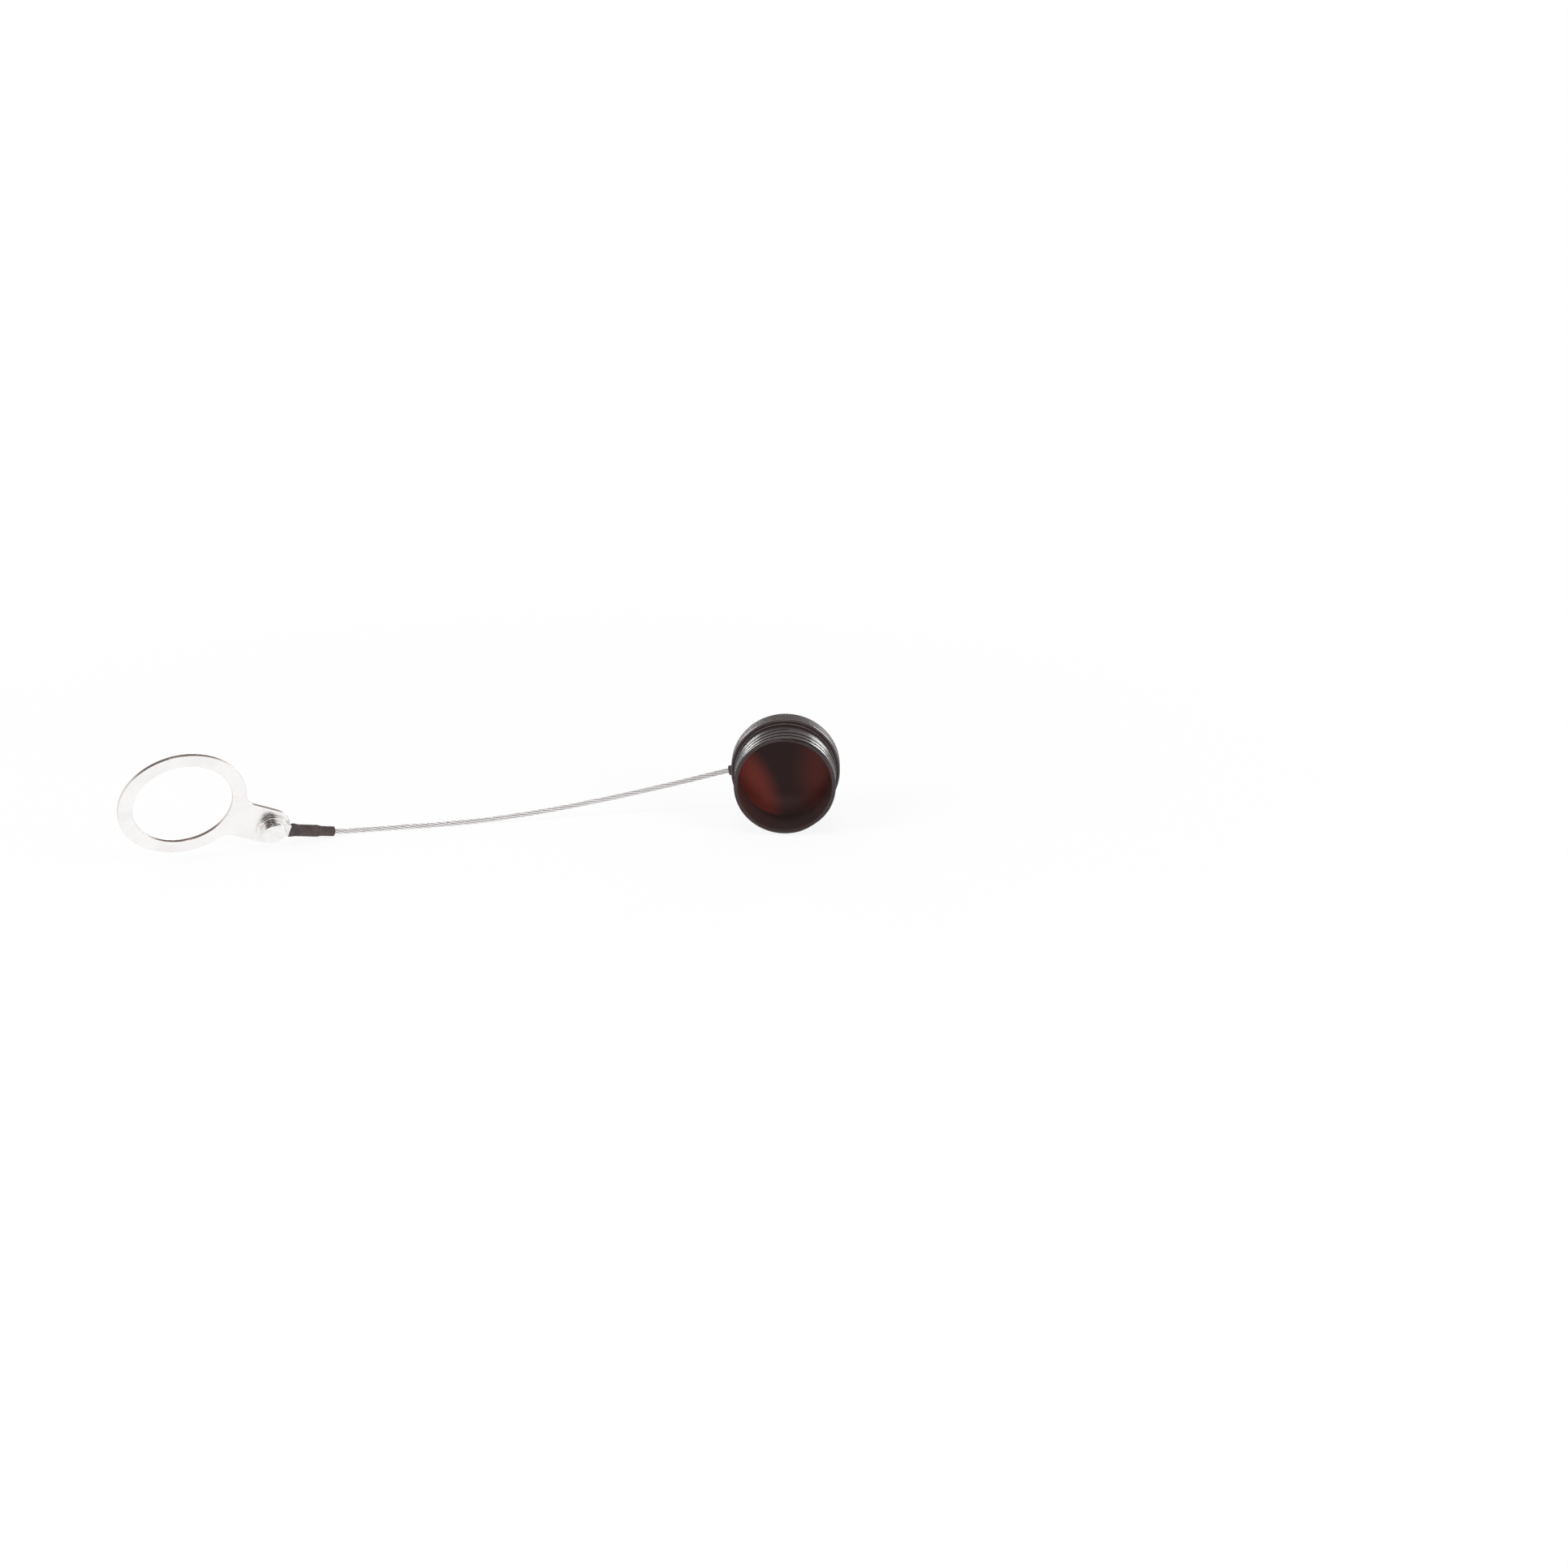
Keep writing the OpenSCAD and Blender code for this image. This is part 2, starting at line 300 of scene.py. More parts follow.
class Finish:
    """A finish, which becomes one material."""

    name: str

    def material(self) -> bpy.types.Material:
        """Makes the finish's material the first time it is asked for.

        Returns:
            The material.
        """
        made = bpy.data.materials.get(self.name)
        if made is None:
            made = bpy.data.materials.new(self.name)
            made.use_nodes = True
            made.node_tree.nodes.clear()
            graph = ShaderGraph(made.node_tree)
            graph.node("ShaderNodeOutputMaterial", {"Surface": self.surface(graph)})
        return made

    def surface(self, graph: ShaderGraph) -> Socket:
        """Writes the finish's nodes and returns the shader's socket."""
        raise NotImplementedError


@dataclass(frozen=True)
class PaintedSheen:
    """A round patch of painted sheen on a faced floor: a highlight painted into its colour where the tool
    marks catch the light.
    """

    across: float
    rise: float
    near: float
    far: float
    share: float


@dataclass(frozen=True)
class BlackAnodise(Finish):
    """Black dyed anodised aluminium, its cup's faced floor showing the dye's red, with painted sheens and
    painted light on that floor.
    """

    name: str = "black_anodise"
    dye: Point = (0.026, 0.0150, 0.0150)
    # Lighter colour of edges, the plain ring and the knurl: partly wear, partly painted highlight.
    worn_and_painted_highlight: Point = (0.125, 0.105, 0.105)
    wall_dye: Point = (0.042, 0.0275, 0.0260)
    # The first colour below is the floor's painted sheen, a highlight painted into its colour; the second is
    # the floor between the sheens.
    floor_painted_sheen: Point = (0.150, 0.0225, 0.0155)
    floor_dim: Point = (0.021, 0.0065, 0.0055)
    # Painted light: the floor below rise low_from takes these lighter colours, fully from low_to down.
    low_painted_sheen: Point = (0.320, 0.0700, 0.0550)
    low_painted_floor: Point = (0.100, 0.0540, 0.0500)
    low_to: float = -13.5
    low_from: float = -5.5
    # Painted sheens: round patches of painted highlight on the cup's floor.
    painted_sheens: tuple[PaintedSheen, ...] = (
        PaintedSheen(-31.4, -13.7, 25.5, 32.0, 1.0),
        PaintedSheen(34.0, 0.5, 24.5, 33.0, 0.42),
    )
    cloud_mm: float = 2.6
    fine_mm: float = 0.09
    fine_deep_mm: float = 0.004
    feed_mm: float = 0.30
    feed_deep_mm: float = 0.0035
    floor_metal: float = 0.5
    roughness: float = 0.25
    specular: float = 0.3

    def floor(self, graph: ShaderGraph) -> Socket:
        """Writes the colours of the cup's floor, with its painted sheens and with painted light that makes
        its lower part lighter.

        Args:
            graph: The material's tree.

        Returns:
            The colour.
        """
        across, rise = graph.mark(Mark.ACROSS), graph.mark(Mark.RISE)
        # Painted highlight: the sheens lighten the floor's colour.
        painted_shine: Term = 0.0
        for patch in self.painted_sheens:
            gap = graph.distance(across - patch.across, rise - patch.rise)
            painted_shine = (1 - graph.step(gap, patch.near, patch.far)) * patch.share + painted_shine
        painted_shine = painted_shine.clamped()
        # Painted light: the lower part of the floor is painted lighter, sheens and all.
        low = 1 - graph.step(rise, self.low_to, self.low_from)
        high_colour = graph.blend(painted_shine, self.floor_dim, self.floor_painted_sheen)
        return graph.blend(low, high_colour, graph.blend(painted_shine, self.low_painted_floor, self.low_painted_sheen))

    def surface(self, graph: ShaderGraph) -> Socket:
        """Writes the dyed oxide: grained outside, with a lathe's feed rings on the cup's floor.

        Args:
            graph: The material's tree.

        Returns:
            The shader.
        """
        place = graph.place()
        cup, groove, knurl = graph.mark(Mark.CUP), graph.mark(Mark.GROOVE), graph.mark(Mark.KNURL)
        cloud = graph.grain(place, self.cloud_mm)
        fine = graph.grain(place, self.fine_mm, 2, 0.6)
        floor = graph.step(cup, 0.75, 0.98)
        inside = graph.step(cup, 0.05, 0.45)
        corner = graph.step(cup, 0.52, 0.60) * (1 - floor)
        # Edges, the plain ring and the knurl are painted lighter: partly wear through the oxide, partly
        # painted highlight.
        edge = ((graph.mark(Mark.WEAR) * (0.35 + cloud * 0.9) + knurl * 0.4) * (1 - groove)).clamped()
        outside = graph.blend(edge, self.dye, self.worn_and_painted_highlight)
        colour = graph.blend(inside, outside, graph.blend(floor, self.wall_dye, self.floor(graph)))
        rough = self.roughness + cloud * 0.08 - edge * 0.05 + groove * 0.12 + corner * 0.4 + knurl * 0.22
        wave = graph.math("SINE", graph.mark(Mark.RADIUS) * (TAU / self.feed_mm) + cloud * 3.0)
        etched = graph.relief(fine, self.fine_deep_mm, 0.6)
        fed = graph.relief((wave * 0.5 + 0.5) * floor, self.feed_deep_mm, 1.0, etched)
        return graph.shader(colour, rough, fed, floor * self.floor_metal, self.specular)


@dataclass(frozen=True)
class TumbledStainless(Finish):
    """Pale stainless sheet, tumbled after stamping."""

    name: str = "tumbled_stainless"
    steel: Point = (0.972, 0.955, 0.945)
    cloudy: Point = (0.895, 0.868, 0.855)
    sheared: Point = (0.72, 0.66, 0.63)
    cloud_mm: float = 7.0
    cloud_deep_mm: float = 0.05
    fine_mm: float = 0.25
    fine_deep_mm: float = 0.0035
    pit_mm: float = 0.7
    roughness: float = 0.20

    def surface(self, graph: ShaderGraph) -> Socket:
        """Writes the sheet's clouds, its fine tumbling marks and its duller cut edge.

        Args:
            graph: The material's tree.

        Returns:
            The shader.
        """
        place = graph.place()
        cloud = graph.grain(place, self.cloud_mm, 4, 0.6)
        patch = graph.step(cloud, 0.38, 0.68)
        fine = graph.grain(place, self.fine_mm, 3, 0.6)
        pits = graph.step(graph.grain(place, self.pit_mm, 2), 0.62, 0.75)
        face = graph.blend(patch * 0.6 + pits * 0.12, self.steel, self.cloudy)
        colour = graph.blend(graph.step(graph.mark(Mark.WEAR), 0.6, 1.0), face, self.sheared)
        waved = graph.relief(cloud, self.cloud_deep_mm, 0.35)
        normal = graph.relief(fine, self.fine_deep_mm, 0.5, waved)
        return graph.shader(colour, self.roughness + patch * 0.10 + fine * 0.06, normal)


@dataclass(frozen=True)
class TurnedSteel(Finish):
    """Bright turned or plated steel of the rivets and terminals."""

    name: str
    steel: Point
    dull: Point
    rings: float
    roughness: float
    rings_per_mm: float = 9.0
    ring_deep_mm: float = 0.004
    cloud_mm: float = 1.4
    cloud_deep_mm: float = 0.02
    fine_mm: float = 0.12
    fine_deep_mm: float = 0.003

    def surface(self, graph: ShaderGraph) -> Socket:
        """Writes the steel with its tool rings, clouds and scratches.

        Args:
            graph: The material's tree.

        Returns:
            The shader.
        """
        place = graph.place()
        cloud = graph.grain(place, self.cloud_mm)
        fine = graph.grain(place, self.fine_mm, 3, 0.6)
        sockets = {"W": graph.mark(Mark.RADIUS), "Scale": self.rings_per_mm, "Detail": 2.0}
        ring = graph.value("ShaderNodeTexNoise", "Fac", sockets, noise_dimensions="1D")
        patch = graph.step(cloud, 0.4, 0.7)
        colour = graph.blend(patch * 0.5 + graph.mark(Mark.WEAR) * 0.1, self.steel, self.dull)
        waved = graph.relief(cloud, self.cloud_deep_mm, 0.4)
        scratched = graph.relief(fine, self.fine_deep_mm, 0.5, waved)
        normal = graph.relief(ring, self.ring_deep_mm, self.rings, scratched)
        return graph.shader(colour, self.roughness + patch * 0.10 + fine * 0.05, normal)


@dataclass(frozen=True)
class ShrinkSleeve(Finish):
    """Matt dark polyolefin tubing, shrunk on."""

    name: str = "shrink_sleeve"
    dark: Point = (0.056, 0.041, 0.041)
    pale: Point = (0.088, 0.066, 0.065)
    cloud_mm: float = 1.6
    cloud_deep_mm: float = 0.05
    fine_mm: float = 0.11
    fine_deep_mm: float = 0.010
    roughness: float = 0.46
    specular: float = 0.45

    def surface(self, graph: ShaderGraph) -> Socket:
        """Writes the tubing's faint mottle and its fine pulled grain.

        Args:
            graph: The material's tree.

        Returns:
            The shader.
        """
        place = graph.place()
        cloud = graph.grain(place, self.cloud_mm, 4)
        fine = graph.grain(place, self.fine_mm, 3, 0.6)
        mottle = (graph.step(cloud, 0.35, 0.7) * 0.7 + graph.mark(Mark.WEAR) * 0.3).clamped()
        normal = graph.relief(fine, self.fine_deep_mm, 0.6, graph.relief(cloud, self.cloud_deep_mm, 0.5))
        colour = graph.blend(mottle, self.dark, self.pale)
        return graph.shader(colour, self.roughness + cloud * 0.12, normal, 0.0, self.specular)


@dataclass(frozen=True)
class DrawnWire(Finish):
    """Bright drawn stainless wire, with painted shade in the gaps between the strands."""

    name: str = "drawn_wire"
    wire: Point = (0.99, 0.978, 0.972)
    # Painted shade colour of the gaps between the strands.
    gap: Point = (0.27, 0.225, 0.21)
    cloud_mm: float = 1.1
    fine_mm: float = 0.06
    fine_deep_mm: float = 0.002
    roughness: float = 0.34
    metal: float = 0.55

    def surface(self, graph: ShaderGraph) -> Socket:
        """Writes bright crowns and painted shade in the gaps between the strands.

        Args:
            graph: The material's tree.

        Returns:
            The shader.
        """
        place = graph.place()
        cloud = graph.grain(place, self.cloud_mm)
        # Painted shade: the wires are darker the nearer they lie to the rope's middle.
        bright = graph.step(graph.mark(Mark.CROWN) + cloud * 0.06, 0.66, 0.90)
        colour = graph.blend(bright, self.gap, self.wire)
        normal = graph.relief(graph.grain(place, self.fine_mm, 2, 0.6), self.fine_deep_mm, 0.5)
        return graph.shader(colour, self.roughness - bright * 0.12 + cloud * 0.06, normal, self.metal)


@dataclass(frozen=True)
class PaleFloor(Finish):
    """Plain white table that keeps the object's shadow."""

    name: str = "pale_floor"
    shown: float = 0.88
    near: float = 0.10
    far: float = 0.40
    paint: Point = (0.86, 0.86, 0.86)
    glow: Point = (1.0, 1.0, 1.0)

    def surface(self, graph: ShaderGraph) -> Socket:
        """Writes a white table: partly lit, partly shining white to the camera and to bright metal.

        Args:
            graph: The material's tree.

        Returns:
            The shader.
        """
        seen = graph.rays("Camera", "Glossy", "Transmission")
        away = graph.step(graph.place().length(), self.near, self.far)
        share = seen * (self.shown + away * (1 - self.shown))
        lit = graph.node("ShaderNodeBsdfDiffuse", {"Color": (*self.paint, 1.0)})
        white = graph.node("ShaderNodeEmission", {"Color": (*self.glow, 1.0), "Strength": 1.0})
        sockets = {0: share, 1: lit.outputs[0], 2: white.outputs[0]}
        return graph.node("ShaderNodeMixShader", sockets).outputs[0]


# Geometry Nodes


class ShapeGraph(Graph):
    """A Geometry Nodes tree with named inputs."""

    def __init__(self, name: str) -> None:
        """Starts the tree.

        Args:
            name: The tree's name.
        """
        super().__init__(bpy.data.node_groups.new(name, "GeometryNodeTree"))
        self.sizes: dict[str, float] = {}
        for way in ("INPUT", "OUTPUT"):
            self.tree.interface.new_socket("Geometry", in_out=way, socket_type="NodeSocketGeometry")
        self.entry = self.tree.nodes.new("NodeGroupInput")

    def numbers(self, sizes: Mapping[str, float]) -> list[Value]:
        """Adds named inputs and keeps what they are set to for the bake.

        Args:
            sizes: The inputs, by name.

        Returns:
            Their values.
        """
        for name, size in sizes.items():
            made = self.tree.interface.new_socket(name, in_out="INPUT", socket_type="NodeSocketFloat")
            self.sizes[made.identifier] = float(size)
        return [Value(self, self.entry.outputs[name]) for name in sizes]

    def mark(self, mark: Mark) -> Value:
        """Reads a value kept at the mesh's corners."""
        kept = {"Name": mark.value}
        return self.value("GeometryNodeInputNamedAttribute", "Attribute", kept, data_type="FLOAT")

    def place(self) -> Arrow:
        """Reads each corner's place."""
        return Arrow(self, self.node("GeometryNodeInputPosition").outputs[0])

    def put(self, shape: Socket, place: Union[Arrow, Socket]) -> Socket:
        """Moves each corner to a place."""
        return self.node("GeometryNodeSetPosition", {"Geometry": shape, "Position": place}).outputs[0]

    def store(self, shape: Socket, mark: Mark, value: Value) -> Socket:
        """Keeps a value at each corner.

        Args:
            shape: The geometry.
            mark: The value's name.
            value: The value.

        Returns:
            The geometry with it.
        """
        kept = {"Geometry": shape, "Name": mark.value, "Value": value}
        made = self.node("GeometryNodeStoreNamedAttribute", kept, data_type="FLOAT", domain="POINT")
        return made.outputs[0]

    def close(self, shape: Socket, finish: Finish) -> None:
        """Ends the tree.

        Args:
            shape: The finished geometry.
            finish: What it is made of.
        """
        real = self.node("GeometryNodeRealizeInstances", {"Geometry": shape}).outputs[0]
        coated = self.node("GeometryNodeSetMaterial", {"Geometry": real, "Material": finish.material()})
        self.node("NodeGroupOutput", {"Geometry": coated.outputs[0]})

    def bake(self, piece: bpy.types.Object) -> None:
        """Runs the tree on a piece and leaves a plain mesh.

        Args:
            piece: The object that carries the starting mesh.
        """
        modifier = piece.modifiers.new("shape", "NODES")
        modifier.node_group = self.tree
        for identifier, size in self.sizes.items():
            modifier[identifier] = size
        settle(piece)


def settle(piece: bpy.types.Object) -> None:
    """Turns a piece's modifiers into a plain mesh.

    Args:
        piece: The object, which is left without modifiers.
    """
    bpy.context.view_layer.update()
    graph = bpy.context.evaluated_depsgraph_get()
    mesh = bpy.data.meshes.new_from_object(piece.evaluated_get(graph))
    old = piece.data
    piece.modifiers.clear()
    piece.data = mesh
    bpy.data.meshes.remove(old)


# Mesh making


@dataclass
class Row:
    """One ring of corners of a turned shape."""

    r: float
    z: float
    steps: int
    marks: dict[Mark, float] = field(default_factory=dict)


@dataclass
class Corner:
    """One corner of a turned profile, and how far it is rounded."""

    r: float
    z: float
    cut: float = 0.0
    marks: dict[Mark, float] = field(default_factory=dict)

    def toward(self, other: Corner) -> Vector:
        """Returns the way to another corner, as long as this corner's cut."""
        return (Vector((other.r, other.z)) - Vector((self.r, self.z))).normalized() * self.cut


class Shell:
    """A mesh while it is written."""

    def __init__(self) -> None:
        """Starts an empty mesh."""
        self.points: list[Point] = []
        self.faces: list[tuple[int, ...]] = []
        self.marks: dict[Mark, dict[int, float]] = {}

    def ring(self, points: Iterable[Point], marks: Mapping[Mark, float]) -> list[int]:
        """Adds a ring of corners.

        Args:
            points: Their places.
            marks: Values kept at all of them.

        Returns:
            Their numbers.
        """
        first = len(self.points)
        self.points.extend(points)
        ids = list(range(first, len(self.points)))
        for mark, value in marks.items():
            self.marks.setdefault(mark, {}).update({i: value for i in ids})
        return ids

    def bridge(self, lower: list[int], upper: list[int]) -> None:
        """Joins two closed rings of corners, of equal number, of half the number, or a single one.

        Args:
            lower: The first ring, counter-clockwise seen from the outside's left.
            upper: The second ring.
        """
        n, m = len(lower), len(upper)
        after, above = lower[1:] + lower[:1], upper[1:] + upper[:1]
        if n == 1:
            self.faces.extend((lower[0], v, u) for u, v in zip(upper, above))
        elif m == 1:
            self.faces.extend((a, b, upper[0]) for a, b in zip(lower, after))
        elif n == m:
            self.faces.extend(zip(lower, after, above, upper))
        elif n == 2 * m:
            for a, b, c, u, v in zip(lower[::2], lower[1::2], after[1::2], upper, above):
                self.faces.extend([(a, b, u), (b, v, u), (b, c, v)])
        elif m == 2 * n:
            for a, b, c, u, v in zip(upper[::2], upper[1::2], above[1::2], lower, after):
                self.faces.extend([(b, a, u), (u, v, b), (c, b, v)])
        else:
            raise ValueError(f"rings of {n} and {m} corners")

    def join(self, rings: list[list[int]], loop: bool = True) -> None:
        """Joins rings in order, and the last to the first in a loop."""
        for lower, upper in zip(rings, rings[1:] + rings[: int(loop)]):
            self.bridge(lower, upper)

    def turn(self, rows: Sequence[Row], loop: bool = False, lift: Matrix = Matrix()) -> None:
        """Adds a shape turned about Z. Its rows run with the outside on their right-hand side.

        Args:
            rows: The rings of corners, in order.
            loop: Whether the last ring joins the first.
            lift: Where the shape goes.
        """
        rings: list[list[int]] = []
        for row in rows:
            steps = 1 if row.r < TINY else row.steps
            angles = [TAU * i / steps for i in range(steps)]
            points = [tuple(lift @ Vector((row.r * math.cos(a), row.r * math.sin(a), row.z))) for a in angles]
            rings.append(self.ring(points, {Mark.RADIUS: row.r, **row.marks}))
        self.join(rings, loop)

    def object(self, name: str, finish: Finish) -> bpy.types.Object:
        """Makes the mesh's object.

        Args:
            name: The object's name.
            finish: What it is made of.

        Returns:
            The object, linked to the scene.
        """
        mesh = bpy.data.meshes.new(name)
        mesh.from_pydata(self.points, [], self.faces)
        for mark, values in self.marks.items():
            flat = np.zeros(len(self.points), np.float32)
            flat[list(values)] = list(values.values())
            mesh.attributes.new(mark.value, "FLOAT", "POINT").data.foreach_set("value", flat)
        mesh.validate()
        mesh.materials.append(finish.material())
        return linked(name, mesh)


def linked(name: str, data: Any) -> bpy.types.Object:
    """Makes an object of a mesh, lamp or camera and links it to the scene.

    Args:
        name: The object's name.
        data: What it holds.

    Returns:
        The object.
    """
    made = bpy.data.objects.new(name, data)
    bpy.context.scene.collection.objects.link(made)
    return made


def ramp(value: float, low: float, high: float) -> float:
    """Returns how far a value has come from low to high, held between 0 and 1."""
    return min(1.0, max(0.0, (value - low) / (high - low)))


def soften(profile: Sequence[tuple], steps: int, segments: int = 3, longest: float = 99.0) -> list[Row]:
    """Rounds the corners of a profile and splits its long runs.

    Args:
        profile: The profile's corners: radius, height, cut and marks.
        steps: Number of corners around.
        segments: Number of runs in each rounding.
        longest: Longest run along the profile.

    Returns:
        The rows of the turned shape.
    """
    rows: list[Row] = []

    def add(r: float, z: float, marks: Mapping[Mark, float]) -> None:
        """Adds one row, and the rows that split a long run before it.

        Args:
            r: Radius.
            z: Height.
            marks: Values kept at the row's corners.
        """
        if rows:
            last = rows[-1]
            gap = math.hypot(r - last.r, z - last.z)
            if gap < 10 * TINY:
                return
            count = max(1, math.ceil(gap / longest))
            for t in (k / count for k in range(1, count)):
                both = {*last.marks, *marks}
                middle = {mark: last.marks.get(mark, 0) * (1 - t) + marks.get(mark, 0) * t for mark in both}
                middle[Mark.WEAR] = 0.0
                rows.append(Row(last.r + (r - last.r) * t, last.z + (z - last.z) * t, steps, middle))
        rows.append(Row(r, z, steps, dict(marks)))

    corners = [Corner(*corner) for corner in profile]
    for i, corner in enumerate(corners):
        if corner.cut <= 0 or i in (0, len(corners) - 1):
            add(corner.r, corner.z, corner.marks)
            continue
        back, ahead = corner.toward(corners[i - 1]), corner.toward(corners[i + 1])
        for t in (k / segments for k in range(segments + 1)):
            p = Vector((corner.r, corner.z)) + back * (1 - t) ** 2 + ahead * t**2
            add(p.x, p.y, {**corner.marks, Mark.WEAR: 4 * t * (1 - t)})
    return rows


def plate(
    shell: Shell,
    outline: Callable[[float], Vector],
    hole_r: float,
    count: int,
    thick: float,
    edge: float,
    across: int,
    bend: Callable[[float, float, float], Point] = lambda x, y, z: (x, y, z),
) -> None:
    """Adds a flat plate with one round hole, its stamped edges rounded.

    Args:
        shell: The mesh that it goes into.
        outline: The outer edge's place in each direction.
        hole_r: Radius of the hole.
        count: Number of corners around.
        thick: Thickness, from z = -thick to 0.
        edge: Radius of the rounded edges.
        across: Number of runs from the hole to the outer edge.
        bend: Moves each corner, for a plate that is bent.
    """
    rings: list[list[int]] = []

    def inset(line: Sequence[Vector], depth: float) -> list[Vector]:
        """Moves a closed line to its left."""
        ways = [line[(i + 1) % count] - line[i - 1] for i in range(count)]
        return [p + Vector((-way.y, way.x)).normalized() * depth for p, way in zip(line, ways)]

    def add(line: Sequence[Vector], z: float, wear: float) -> None:
        """Adds one ring of the plate."""
        rings.append(shell.ring([bend(p.x, p.y, z) for p in line], {Mark.WEAR: wear, Mark.RADIUS: 0.0}))

    def side(z: float, shares: Iterable[float]) -> None:
        """Adds the rings of a flat side."""
        for t in shares:
            add([h.lerp(o, t) for h, o in zip(hole_in, outer_in)], z, 0.25 if t in (0, 1) else 0.0)

    def rim(line: Sequence[Vector], inward: int, z: float, way: int, curve: Iterable[float]) -> None:
        """Adds the rings of a rounded edge.

        Args:
            line: The edge, seen from above.
            inward: 1 at the outer edge and -1 at the hole.
            z: Height of the flat side that the edge meets.
            way: 1 where the edge rises from that side and -1 where it falls.
            curve: Where the rings are on the edge's arc, in degrees.
        """
        for a in map(math.radians, curve):
            s, drop = math.sin(a), edge * (1 - math.cos(a))
            add(inset(line, edge * (1 - s) * inward), z + way * drop, 0.5 + 0.5 * s)

    angles = [TAU * i / count for i in range(count)]
    outer = [outline(a) for a in angles]
    hole = [Vector((hole_r * math.cos(a), hole_r * math.sin(a))) for a in angles]
    outer_in, hole_in = inset(outer, edge), inset(hole, -edge)
    shares = [k / across for k in range(across + 1)]
    side(0.0, shares)
    rim(outer, 1, 0.0, -1, (30, 60, 90))
    rim(outer, 1, -thick, 1, (90, 60, 30))
    side(-thick, shares[::-1])
    rim(hole, -1, -thick, 1, (30, 60, 90))
    rim(hole, -1, 0.0, -1, (90, 60, 30))
    shell.join(rings)


def turned(axis: str, degrees: float) -> Matrix:
    """Returns a rotation about an axis."""
    return Matrix.Rotation(math.radians(degrees), 4, axis)


def moved(x: float, y: float, z: float) -> Matrix:
    """Returns a shift."""
    return Matrix.Translation((x, y, z))


def hand_over(piece: bpy.types.Object, node: str, body: Body, slot: Slot) -> None:
    """Hides the part that a finished piece stands for and puts the piece on the body that it rides on.

    Args:
        piece: The piece, in metres in its place.
        node: The part's node that it stands for.
        body: The body that it rides on.
        slot: The record's material slot; not used.
    """
    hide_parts(node)
    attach(piece, body.value)
    LOG.info("%s: %d faces, rides on %s", piece.name, len(piece.data.polygons), body.value)


def fit_out(piece: bpy.types.Object, place: Matrix, sharp: float, *about: Any) -> None:
    """Puts a finished piece in its place and hands it to the frame.

    Args:
        piece: The piece, in millimetres in its own frame.
        place: Where it goes, in millimetres.
        sharp: Angle between faces, in degrees, past which an edge shows.
        *about: Its node, body and slot.
    """
    mesh = piece.data
    mesh.transform(Matrix.Scale(MM, 4) @ place)
    mesh.shade_smooth()
    mesh.set_sharp_from_angle(angle=math.radians(sharp))
    even = piece.modifiers.new("even shading", "WEIGHTED_NORMAL")
    even.keep_sharp = True
    even.weight = 80
    settle(piece)
    hand_over(piece, *about)


# The object's pieces


